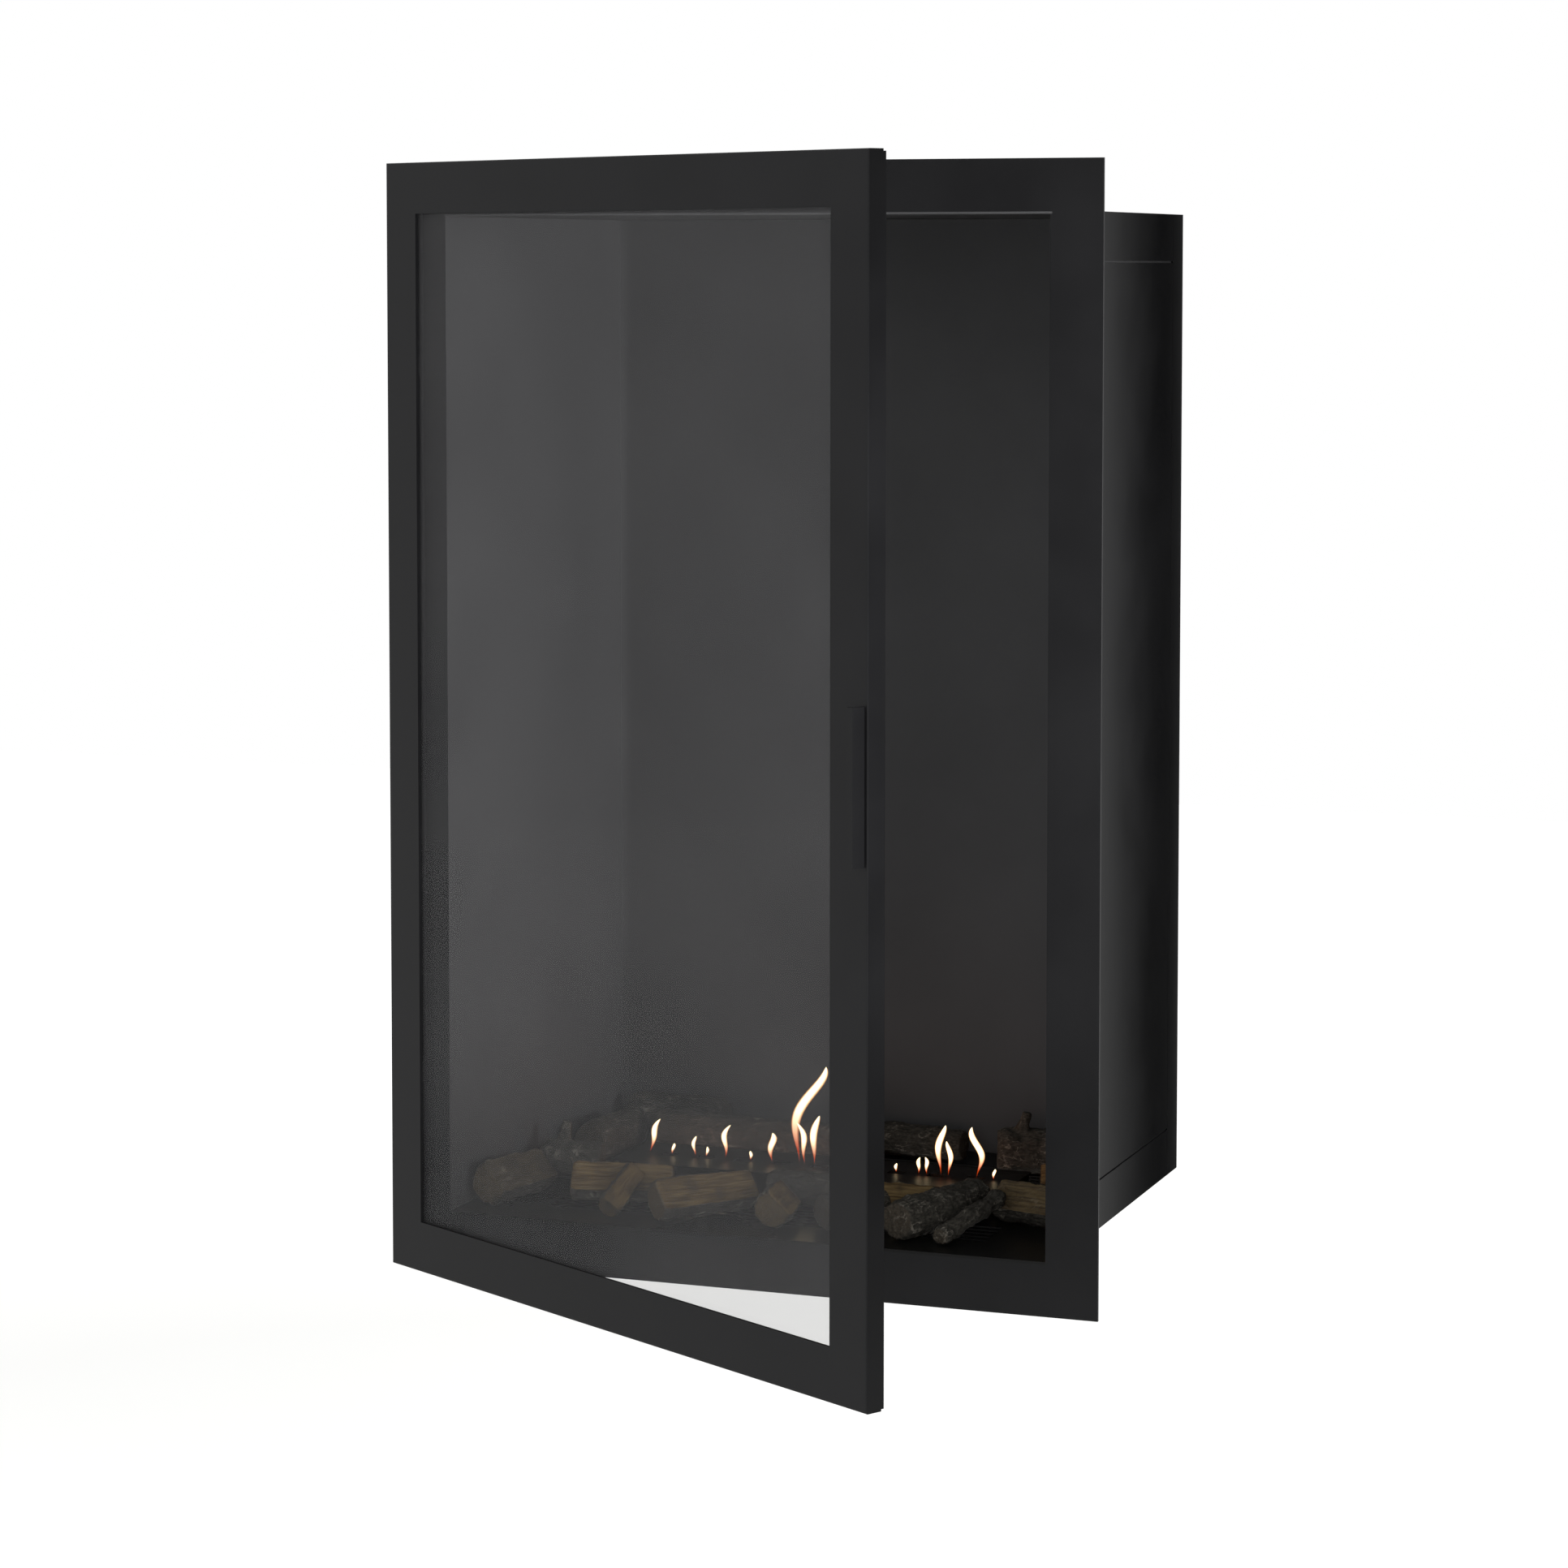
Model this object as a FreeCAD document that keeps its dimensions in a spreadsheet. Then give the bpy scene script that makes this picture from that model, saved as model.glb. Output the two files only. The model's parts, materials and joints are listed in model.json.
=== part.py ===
"""Built-in bioethanol fireplace: a sheet-steel firebox with a wall flange, a hinged glass door,
a tray burner with a hit-and-miss regulator, and a bed of ceramic logs on a slotted hearth.

Millimetres. +Z is up, the front faces -Y, and the origin is the middle of the housing's underside.
"""
import FreeCAD
import Part
import Sketcher

import math
import os
import re

# Driving dimensions. Each one is a cell of the sheet, under its own name.
SIZES = {
    # Housing: the box that goes into the wall
    "housing_width": 629.0,
    "housing_height": 1004.0,
    "housing_depth": 474.0,
    "skin": 2.0,
    "cap_height": 48.0,
    "rear_return": 38.0,
    "seam": 2.0,
    "hairline": 0.4,
    "flange_lap": 48.0,
    "flange_thick": 3.0,
    # Firebox lining
    "liner": 2.0,
    "insulation": 16.0,
    "hearth_thick": 3.0,
    "hearth_slot_length": 460.0,
    "hearth_slot_width": 6.0,
    "hearth_slot_pitch": 14.0,
    "hearth_slot_front": 61.0,
    "hearth_slot_rear": 66.0,
    "inlet_margin": 8.0,
    # Wall fixing holes in the back panel
    "fixing_spacing_x": 500.0,
    "fixing_spacing_z": 800.0,
    "fixing_hole_radius": 4.5,
    # Door
    "door_depth": 20.0,
    "door_front_depth": 17.0,
    "door_front_thick": 3.0,
    "door_return_thick": 2.0,
    "door_bend_radius": 1.5,
    "door_gap": 4.0,
    "door_rest_angle": 30.0,
    "back_frame_width": 30.0,
    "back_frame_inset": 2.0,
    "glass_thick": 4.0,
    "glass_overlap": 15.0,
    "tape_thick": 1.5,
    "tape_width": 10.0,
    "tape_inset": 2.0,
    "clip_foot": 8.0,
    "clip_length": 20.0,
    "clip_overlap": 6.0,
    "clip_thick": 2.5,
    "clip_clearance": 0.5,
    "clip_spread": 352.0,
    "seal_inset": 21.0,
    "seal_width": 8.0,
    "seal_clearance": 0.3,
    "magnet_inset": 6.0,
    "magnet_width": 12.0,
    "magnet_height": 40.0,
    "magnet_spread": 250.0,
    "handle_height": 140.0,
    "handle_reach": 14.0,
    "handle_lip": 8.5,
    "handle_thick": 3.0,
    "handle_edge_gap": 4.0,
    # Pivot hinges
    "pivot_inset": 9.0,
    "hinge_from_end": 140.0,
    "tongue_thick": 6.0,
    "tongue_radius": 6.0,
    "pin_radius": 3.0,
    "pin_overhang": 1.0,
    "pin_clearance": 0.05,
    "ear_thick": 3.0,
    "ear_width": 15.0,
    "ear_clearance": 0.5,
    "washer_thick": 1.4,
    "washer_clearance": 0.2,
    "washer_radius": 5.5,
    "notch_clearance": 1.0,
    # Burner
    "burner_length": 420.0,
    "burner_width": 96.0,
    "burner_height": 20.0,
    "burner_offset": -5.0,
    "burner_wall": 1.5,
    "burner_top_thick": 2.0,
    "burner_top_overhang": 2.0,
    "flame_port_length": 18.0,
    "flame_port_width": 14.0,
    "flame_port_pitch": 42.0,
    "rail_width": 6.0,
    "rail_height": 3.0,
    "regulator_thick": 1.5,
    "regulator_clearance": 0.3,
    "regulator_side_clearance": 0.4,
    "regulator_end_margin": 18.0,
    "regulator_tab_drop": 11.0,
    "regulator_tab_width": 16.0,
    "regulator_end_clearance": 2.5,
    "rod_radius": 2.5,
    "rod_clearance": 0.3,
    "rod_drop": 6.2,
    "knob_radius": 9.0,
    "knob_length": 14.0,
    "knob_waist": 5.0,
    "knob_clearance": 6.0,
    "wick_thick": 10.5,
    "wick_clearance": 0.5,
    "wick_end_gap": 26.0,
    # Logs
    "log_seat_gap": 0.2,
    "log_end_bevel": 5.0,
    "stub_radius": 9.0,
    "stub_length": 30.0,
}
# As many flame ports as the pitch leaves room for, with a whole pitch free at each end
SIZES["flame_port_count"] = SIZES["burner_length"] // SIZES["flame_port_pitch"] - 1

# Cross-sections of the logs as (angle in degrees, share of the radius). The angle goes from the log's left
# over its top to its right; the split face lies between its top and its right.
ROUND_SECTION = [
    (0, 1.0), (36, 0.94), (72, 0.98), (110, 0.95), (146, 1.0),
    (182, 0.93), (216, 0.98), (252, 1.0), (288, 0.95), (326, 0.98),
]
SPLIT_SECTION = [
    (10, 0.88), (44, 0.92), (78, 0.94), (194, 0.98),
    (226, 0.95), (256, 1.0), (290, 0.96), (334, 0.95),
]

# Log: section, start and end of its axis on the hearth's plan, radius, what it leans on, stub
LOGS = {
    "log_left_front": (SPLIT_SECTION, (-284, -205), (-262, -112), 24, None, None),
    "log_left_stub": (ROUND_SECTION, (-288, -58), (-224, -45), 21, None, (0.32, 80)),
    "log_left_wall": (ROUND_SECTION, (-262, 8), (-252, 110), 24, None, None),
    "log_front_split": (SPLIT_SECTION, (-215, -150), (-115, -123), 21, None, None),
    "log_front_lean": (SPLIT_SECTION, (-150, -212), (-147, -142), 14, "log_front_split", None),
    "log_front_wedge": (SPLIT_SECTION, (-100, -208), (-30, -122), 22, None, None),
    "log_front_dark": (ROUND_SECTION, (-22, -98), (56, -86), 19, None, None),
    "log_front_mid": (SPLIT_SECTION, (20, -203), (12, -141), 21, None, None),
    "log_front_brown": (ROUND_SECTION, (66, -186), (112, -128), 19, None, None),
    "log_mid_split": (SPLIT_SECTION, (74, -90), (150, -84), 16, None, None),
    "log_right_split": (SPLIT_SECTION, (216, -80), (290, -103), 22, None, None),
    "log_right_bark": (ROUND_SECTION, (150, -205), (192, -72), 21, None, None),
    "log_right_stick": (ROUND_SECTION, (196, -209), (224, -100), 10, "log_right_split", None),
    "log_rear_long": (ROUND_SECTION, (-213, 77), (28, 82), 26, None, None),
    "log_rear_right": (ROUND_SECTION, (-40, 176), (104, 160), 19, None, None),
    "log_corner_stub": (ROUND_SECTION, (152, 122), (286, 166), 25, None, (0.14, 75)),
    "log_right_glow": (SPLIT_SECTION, (222, 44), (292, 62), 17, None, None),
    "log_rear_left": (ROUND_SECTION, (-284, 190), (-172, 178), 24, None, None),
}
# Walls and burner edges across and along the plan on which the logs were drawn
DRAWN_X = (-310.5, -212.0, 212.0, 310.5)
DRAWN_Y = (-237.0, -55.0, 45.0, 217.0)
SLOTS_IN_ROW = 5
LOG_BAY_SHARE = 0.4
LOG_TAPER = 0.93
LOG_END_SHARE = 0.87
LEAN_LIMIT = 60.0
LEAN_STEPS = 24

# Planes that several pieces share, as formulas of the sizes
HALF_WIDTH = "(housing_width / 2)"
INNER_HALF = "(housing_width / 2 - skin)"
LINED_HALF = "(housing_width / 2 - skin - liner)"
FRONT = "(-housing_depth / 2)"
SKIN_FRONT = "(-housing_depth / 2 + flange_thick)"
REAR = "(housing_depth / 2)"
REAR_INSIDE = "(housing_depth / 2 - skin)"
BACK_LINER_REAR = "(housing_depth / 2 - skin - insulation)"
SIDE_REAR = "(housing_depth / 2 - skin - rear_return - hairline)"
TOP = "housing_height"
CEILING = "(housing_height - skin - liner)"
HEARTH_TOP = "(skin + hearth_thick)"
SLOT_ROW_DEPTH = f"(hearth_slot_pitch * {SLOTS_IN_ROW - 1} + hearth_slot_width)"
FRONT_ROW = f"({FRONT} + hearth_slot_front)"
REAR_ROW = f"({BACK_LINER_REAR} - liner - hearth_slot_rear)"
SLOT_ROWS = {
    "front": (FRONT_ROW, f"({FRONT_ROW} + {SLOT_ROW_DEPTH})"),
    "rear": (f"({REAR_ROW} - {SLOT_ROW_DEPTH})", REAR_ROW),
}
FLANGE_HALF = "(housing_width / 2 + flange_lap)"
FLANGE_LOW = "(-flange_lap)"
FLANGE_HIGH = "(housing_height + flange_lap)"
MID_HEIGHT = "(housing_height / 2)"
PIVOT_X = "(-housing_width / 2 - flange_lap + pivot_inset)"
PIVOT_Y = "(-housing_depth / 2 - door_gap - door_depth / 2)"
# Planes of the door, measured from the hinge axis with the door shut
DOOR_LEFT = "(-pivot_inset)"
DOOR_RIGHT = "(housing_width + 2 * flange_lap - pivot_inset)"
DOOR_FRONT = "(-door_depth / 2)"
DOOR_PLATE_BACK = "(door_front_thick - door_depth / 2)"
DOOR_FRAME_BACK = "(door_front_depth - door_depth / 2)"
DOOR_BACK = "(door_depth / 2)"
WINDOW_X = ("(flange_lap + skin - pivot_inset)", "(flange_lap - pivot_inset + housing_width - skin)")
WINDOW_Z = ("skin", "(housing_height - skin)")
GLASS_FRONT = "(door_front_thick - door_depth / 2 + tape_thick)"
GLASS_BACK = "(door_front_thick - door_depth / 2 + tape_thick + glass_thick)"
SEAL_BACK = "(door_depth / 2 + door_gap - seal_clearance)"
# Levels of the burner
TANK_FLOOR = "(skin + hearth_thick + burner_wall)"
TANK_TOP = "(skin + hearth_thick + burner_height)"
REGULATOR_TOP = "(skin + hearth_thick + burner_height - regulator_clearance)"
REGULATOR_LOW = f"({REGULATOR_TOP} - regulator_thick)"
RAIL_TOP = f"({REGULATOR_LOW} - regulator_clearance)"
ROD_LEVEL = f"({REGULATOR_LOW} - rod_drop)"
TANK_HALF_LENGTH = "(burner_length / 2 - burner_wall)"
TANK_HALF_WIDTH = "(burner_width / 2 - burner_wall)"
TAB_RIGHT = f"({TANK_HALF_LENGTH} - regulator_end_clearance)"
ROD_LENGTH = ("(regulator_end_clearance + burner_wall + burner_top_overhang"
              " + flame_port_pitch / 2 + knob_clearance)")
PORT_ROW = "(flame_port_pitch * (flame_port_count - 1) / 2)"

doc = FreeCAD.newDocument("bioethanol_fireplace")
sheet = doc.addObject("Spreadsheet::Sheet", "Sizes")
nodes = {}


def fill_sheet():
    """Write every driving dimension into a cell of its own, with its name as alias."""
    for row, (name, value) in enumerate(SIZES.items(), start=1):
        sheet.set(f"A{row}", name)
        sheet.set(f"B{row}", str(value))
        sheet.setAlias(f"B{row}", name)
    doc.recompute()


def formula(text):
    """Turn the size names in a formula into references to the sheet."""
    return re.sub(r"[a-z_]+", lambda m: f"Sizes.{m[0]}" if m[0] in SIZES else m[0], text)


def bind(item, prop, text):
    item.setExpression(prop, formula(text))


def size(name):
    return float(sheet.get(name))


def place(item, x="0", y="0", z="0"):
    bind(item, "Placement.Base.x", x)
    bind(item, "Placement.Base.y", y)
    bind(item, "Placement.Base.z", z)
    return item


def plate(name, x, y, z):
    """A box given by its (low, high) formulas along the three axes."""
    item = doc.addObject("Part::Box", name)
    bind(item, "Length", f"({x[1]}) - ({x[0]})")
    bind(item, "Width", f"({y[1]}) - ({y[0]})")
    bind(item, "Height", f"({z[1]}) - ({z[0]})")
    return place(item, x[0], y[0], z[0])


def about(middle, half):
    """The span that reaches half a size to both sides of a middle."""
    return f"({middle} - {half})", f"({middle} + {half})"


def inset(span, margin):
    """A span drawn in by a margin at both ends; a negative margin widens it."""
    return f"({span[0]} + {margin})", f"({span[1]} - {margin})"


def ring(name, x, y, z, band):
    """A flat frame in the XZ plane: a plate with a hole that leaves a band of equal width."""
    outer = plate(f"{name}_outer", x, y, z)
    hole = plate(f"{name}_inner", inset(x, band), inset(y, "(-1)"), inset(z, band))
    return outer, hole


def upright_rod(name, radius, x, y, z):
    """A vertical cylinder on the axis x, y, from z low to z high."""
    item = doc.addObject("Part::Cylinder", name)
    bind(item, "Radius", radius)
    bind(item, "Height", f"({z[1]}) - ({z[0]})")
    return place(item, x, y, z[0])


def level_rod(name, radius, direction, x, y, z, length):
    """A horizontal cylinder that starts at x, y, z and runs along a direction."""
    item = doc.addObject("Part::Cylinder", name)
    item.Placement.Rotation = FreeCAD.Rotation(FreeCAD.Vector(0, 0, 1), FreeCAD.Vector(*direction))
    bind(item, "Radius", radius)
    bind(item, "Height", length)
    return place(item, x, y, z)


def fuse(name, shapes):
    item = doc.addObject("Part::MultiFuse", name)
    item.Shapes = shapes
    item.Refine = True
    return item


def cut(name, base, tools):
    item = doc.addObject("Part::Cut", name)
    item.Base = base
    item.Tool = tools[0] if len(tools) == 1 else fuse(f"{name}_tools", tools)
    return item


def group(name, shapes):
    item = doc.addObject("Part::Compound", name)
    item.Links = shapes
    return item


def node(label, item):
    """Name a finished piece: its label is its file's name."""
    item.Label = label
    nodes[label] = item
    return item


def hang(item):
    """Carry a piece that was drawn about the hinge axis to that axis, swung to the rest angle."""
    item.Placement.Rotation = FreeCAD.Rotation(FreeCAD.Vector(0, 0, 1), -SIZES["door_rest_angle"])
    place(item, PIVOT_X, PIVOT_Y)
    bind(item, "Placement.Rotation.Angle", "-door_rest_angle * 1 deg")
    return item


def origin_plane(body, role):
    return next(f for f in body.Origin.OriginFeatures if f.Role == role)


def new_sketch(body, name, role):
    sketch = body.newObject("Sketcher::SketchObject", name)
    sketch.AttachmentSupport = [(origin_plane(body, role), "")]
    sketch.MapMode = "FlatFace"
    return sketch


def draw_outline(sketch, points):
    """A closed outline of straight lines; each corner is held at its (x, y) formulas."""
    first = len(sketch.Geometry)
    count = len(points)
    for i in range(count):
        start = FreeCAD.Vector(10 * math.cos(i), 10 * math.sin(i), 0)
        end = FreeCAD.Vector(10 * math.cos(i + 1), 10 * math.sin(i + 1), 0)
        sketch.addGeometry(Part.LineSegment(start, end), False)
    for i in range(count):
        after = first + (i + 1) % count
        sketch.addConstraint(Sketcher.Constraint("Coincident", first + i, 2, after, 1))
    for i, (x, y) in enumerate(points):
        for kind, text in (("DistanceX", x), ("DistanceY", y)):
            if text == "0":
                axis = -2 if kind == "DistanceX" else -1
                sketch.addConstraint(Sketcher.Constraint("PointOnObject", first + i, 1, axis))
                continue
            rule = sketch.addConstraint(Sketcher.Constraint(kind, -1, 1, first + i, 1, 10.0))
            bind(sketch, f"Constraints[{rule}]", text)


def rectangle(low, high):
    return [(low[0], low[1]), (high[0], low[1]), (high[0], high[1]), (low[0], high[1])]


def slotted_plate(name, length, width, thick, slot_groups):
    """A flat plate from the origin along +X, +Y and +Z, with rows of equal slots cut through it.

    Each group is (low corner, high corner) of its first slot, the pattern's axis, pitch and count.
    """
    body = doc.addObject("PartDesign::Body", name)
    outline = new_sketch(body, f"{name}_outline", "XY_Plane")
    draw_outline(outline, rectangle(("0", "0"), (length, width)))
    pad = body.newObject("PartDesign::Pad", f"{name}_pad")
    pad.Profile = outline
    bind(pad, "Length", thick)
    doc.recompute()
    for i, (low, high, axis, pitch, count) in enumerate(slot_groups):
        slot = new_sketch(body, f"{name}_slot_{i}", "XY_Plane")
        draw_outline(slot, rectangle(low, high))
        pocket = body.newObject("PartDesign::Pocket", f"{name}_pocket_{i}")
        pocket.Profile = slot
        pocket.Type = "ThroughAll"
        pocket.Reversed = True
        pattern = body.newObject("PartDesign::LinearPattern", f"{name}_row_{i}")
        pattern.Originals = [pocket]
        pattern.Direction = (slot, [axis])
        pattern.Occurrences = count
        bind(pattern, "Length", f"{pitch} * {count - 1}")
        body.Tip = pattern
        doc.recompute()
    return body


def build_housing():
    """Outer box: top cap, bottom tray, two side covers and a back panel that wraps the sides."""
    outer_sides = {
        "left": (f"-{HALF_WIDTH}", f"-{INNER_HALF}"),
        "right": (INNER_HALF, HALF_WIDTH),
    }
    full_width = (f"-{HALF_WIDTH}", HALF_WIDTH)
    skirt_y = (SKIN_FRONT, SIDE_REAR)
    plate_y = (SKIN_FRONT, REAR_INSIDE)
    top_plate = plate("top_plate", full_width, plate_y, (f"{TOP} - skin", TOP))
    top_skirts = [
        plate(f"top_skirt_{side}", span, skirt_y, (f"{TOP} - cap_height", f"{TOP} - skin"))
        for side, span in outer_sides.items()
    ]
    node("top_cap", fuse("top_cap_fuse", [top_plate, *top_skirts]))

    bottom_plate = plate("bottom_plate", full_width, plate_y, ("0", "skin"))
    bottom_skirts = [
        plate(f"bottom_skirt_{side}", span, skirt_y, ("skin", "cap_height"))
        for side, span in outer_sides.items()
    ]
    inlet_x = about("0", "(hearth_slot_length / 2 + inlet_margin)")
    inlets = [
        plate(f"{name}_inlet", inlet_x, inset(span, "(-inlet_margin)"), ("-1", "skin + 1"))
        for name, span in SLOT_ROWS.items()
    ]
    tray = fuse("bottom_tray_fuse", [bottom_plate, *bottom_skirts])
    node("bottom_tray", cut("bottom_tray_cut", tray, inlets))

    cover_z = ("cap_height + seam", f"{TOP} - cap_height - seam")
    for side, span in outer_sides.items():
        node(f"side_cover_{side}", plate(f"side_cover_{side}_plate", span, skirt_y, cover_z))

    back_plate = plate("back_plate", full_width, (REAR_INSIDE, REAR), ("0", TOP))
    return_y = (f"{REAR_INSIDE} - rear_return", REAR_INSIDE)
    returns = [
        plate(f"back_return_{side}", span, return_y, ("skin", f"{TOP} - skin"))
        for side, span in outer_sides.items()
    ]
    holes = [
        level_rod(f"fixing_hole_{sx}_{sz}", "fixing_hole_radius", (0, 1, 0),
                  f"{sx} * fixing_spacing_x / 2", f"{REAR_INSIDE} - 1",
                  f"{MID_HEIGHT} + {sz} * fixing_spacing_z / 2", "skin + 2")
        for sx in (-1, 1) for sz in (-1, 1)
    ]
    back = fuse("back_panel_fuse", [back_plate, *returns])
    node("back_panel", cut("back_panel_cut", back, holes))

    flange, window = ring("flange", about("0", FLANGE_HALF), (FRONT, SKIN_FRONT),
                          (FLANGE_LOW, FLANGE_HIGH), "(flange_lap + skin)")
    node("front_flange", cut("front_flange_cut", flange, [window]))


def build_lining():
    """Firebox: slotted hearth, side, back and ceiling liners, and the board behind the back liner."""
    height = (HEARTH_TOP, CEILING)
    inside = (FRONT, REAR_INSIDE)
    lined_x = about("0", LINED_HALF)
    spans = {
        "liner_left": ((f"-{INNER_HALF}", f"-{LINED_HALF}"), inside, height),
        "liner_right": ((LINED_HALF, INNER_HALF), inside, height),
        "liner_ceiling": (about("0", INNER_HALF), inside, (CEILING, f"{TOP} - skin")),
        "liner_back": (lined_x, (f"{BACK_LINER_REAR} - liner", BACK_LINER_REAR), height),
        "back_insulation": (lined_x, (BACK_LINER_REAR, REAR_INSIDE), height),
    }
    for label, (x, y, z) in spans.items():
        node(label, plate(f"{label}_plate", x, y, z))

    depth = f"({REAR_INSIDE} - {FRONT})"
    left = f"({INNER_HALF} - hearth_slot_length / 2)"
    right = f"({INNER_HALF} + hearth_slot_length / 2)"
    slots = []
    for first, _ in SLOT_ROWS.values():
        low = f"({first} - {FRONT})"
        high = f"({low} + hearth_slot_width)"
        slots.append(((left, low), (right, high), "V_Axis", "hearth_slot_pitch", SLOTS_IN_ROW))
    hearth = slotted_plate("hearth_body", f"2 * {INNER_HALF}", depth, "hearth_thick", slots)
    node("hearth_plate", place(hearth, f"-{INNER_HALF}", FRONT, "skin"))


def build_hinges():
    """Two pivot hinges: a tongue welded to the flange, its pin and washer, and a pair of ears in the door."""
    levels = {
        "lower": f"({FLANGE_LOW} + hinge_from_end)",
        "upper": f"({FLANGE_HIGH} - hinge_from_end)",
    }
    half = "(tongue_thick / 2)"
    ear_low = f"(-{half} - ear_clearance)"
    ear_high = f"({half} + washer_thick + washer_clearance)"
    washers = []
    for name, level in levels.items():
        arm = plate(f"tongue_arm_{name}", (f"{PIVOT_X} - tongue_radius", f"{PIVOT_X} + tongue_radius"),
                    (PIVOT_Y, FRONT), (f"{level} - {half}", f"{level} + {half}"))
        nose = upright_rod(f"tongue_nose_{name}", "tongue_radius", PIVOT_X, PIVOT_Y,
                           (f"{level} - {half}", f"{level} + {half}"))
        bore = upright_rod(f"tongue_bore_{name}", "pin_radius", PIVOT_X, PIVOT_Y,
                           (f"{level} - tongue_thick", f"{level} + tongue_thick"))
        node(f"hinge_tongue_{name}",
             cut(f"tongue_cut_{name}", fuse(f"tongue_fuse_{name}", [arm, nose]), [bore]))
        pin_low = f"({level} + {ear_low} - ear_thick - pin_overhang)"
        pin_high = f"({level} + {ear_high} + ear_thick + pin_overhang)"
        node(f"hinge_pin_{name}",
             upright_rod(f"hinge_pin_rod_{name}", "pin_radius", PIVOT_X, PIVOT_Y, (pin_low, pin_high)))
        washer_z = (f"{level} + {half}", f"{level} + {half} + washer_thick")
        disc = upright_rod(f"washer_disc_{name}", "washer_radius", PIVOT_X, PIVOT_Y, washer_z)
        eye = upright_rod(f"washer_eye_{name}", "pin_radius", PIVOT_X, PIVOT_Y, washer_z)
        washers.append(cut(f"washer_{name}", disc, [eye]))

        ears = []
        for end, low in (("low", f"({level} + {ear_low} - ear_thick)"), ("high", f"({level} + {ear_high})")):
            leaf = plate(f"ear_leaf_{name}_{end}",
                         (f"{DOOR_LEFT} + door_return_thick", f"{DOOR_LEFT} + door_return_thick + ear_width"),
                         (DOOR_PLATE_BACK, DOOR_FRAME_BACK), (low, f"{low} + ear_thick"))
            hole = upright_rod(f"ear_hole_{name}_{end}", "pin_radius + pin_clearance", "0", "0",
                               (f"{low} - 1", f"{low} + ear_thick + 1"))
            ears.append(cut(f"ear_{name}_{end}", leaf, [hole]))
        node(f"hinge_ears_{name}", hang(group(f"hinge_ears_group_{name}", ears)))
    node("thrust_washers", group("thrust_washer_group", washers))
    return {name: (f"({level} + {ear_low})", f"({level} + {ear_high})") for name, level in levels.items()}


def build_door(notches):
    """Glass door, drawn shut about the hinge axis and then swung open to its rest angle."""
    outer_x = (DOOR_LEFT, DOOR_RIGHT)
    outer_z = (FLANGE_LOW, FLANGE_HIGH)
    slab = plate("door_slab", outer_x, (DOOR_FRONT, DOOR_FRAME_BACK), outer_z)
    rounded = doc.addObject("Part::Fillet", "door_slab_bends")
    rounded.Base = slab
    doc.recompute()
    front = size("door_depth") / -2
    bends = [
        i for i, edge in enumerate(slab.Shape.Edges, start=1)
        if all(abs(v.Y - front) < 0.01 for v in edge.Vertexes)
    ]
    bend = size("door_bend_radius")
    rounded.Edges = [(i, bend, bend) for i in bends]
    hollow = plate("door_hollow", inset(outer_x, "door_return_thick"),
                   (DOOR_PLATE_BACK, f"{DOOR_FRAME_BACK} + 1"), inset(outer_z, "door_return_thick"))
    window = plate("door_window", WINDOW_X, inset((DOOR_FRONT, DOOR_PLATE_BACK), "(-1)"), WINDOW_Z)
    edge_notches = [
        plate(f"door_notch_{name}", (f"{DOOR_LEFT} - 1", f"{DOOR_LEFT} + door_return_thick + 1"),
              (DOOR_PLATE_BACK, f"{DOOR_FRAME_BACK} + 1"), span)
        for name, span in notches.items()
    ]
    node("door_frame", hang(cut("door_frame_cut", rounded, [hollow, window, *edge_notches])))

    back_y = (DOOR_FRAME_BACK, DOOR_BACK)
    back, inner = ring("back_frame", outer_x, back_y, inset(outer_z, "back_frame_inset"), "back_frame_width")
    back_notches = [
        plate(f"back_notch_{name}", (f"{DOOR_LEFT} - 1", "tongue_radius + notch_clearance"),
              inset(back_y, "(-1)"), span)
        for name, span in notches.items()
    ]
    node("door_back_frame", hang(cut("door_back_frame_cut", back, [inner, *back_notches])))

    glass_x = inset(WINDOW_X, "(-glass_overlap)")
    glass_z = inset(WINDOW_Z, "(-glass_overlap)")
    pane = plate("glass_plate", glass_x, (GLASS_FRONT, GLASS_BACK), glass_z)
    node("door_glass", hang(group("door_glass_pane", [pane])))

    tape, tape_hole = ring("tape", inset(glass_x, "tape_inset"), (DOOR_PLATE_BACK, GLASS_FRONT),
                           inset(glass_z, "tape_inset"), "tape_width")
    node("glass_tape", hang(cut("glass_tape_cut", tape, [tape_hole])))

    build_clips(glass_x, glass_z)
    build_seal_and_magnets()
    build_handle()


def clip_spans(span):
    """Foot and lip of a clip at each end of the glass, across one direction of the pane."""
    near = "clip_clearance"
    far = "(clip_clearance + clip_foot)"
    low, high = span
    return [
        ((f"({low} - {far})", f"({low} - {near})"), (f"({low} - {far})", f"({low} + clip_overlap)")),
        ((f"({high} + {near})", f"({high} + {far})"), (f"({high} - clip_overlap)", f"({high} + {far})")),
    ]


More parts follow.
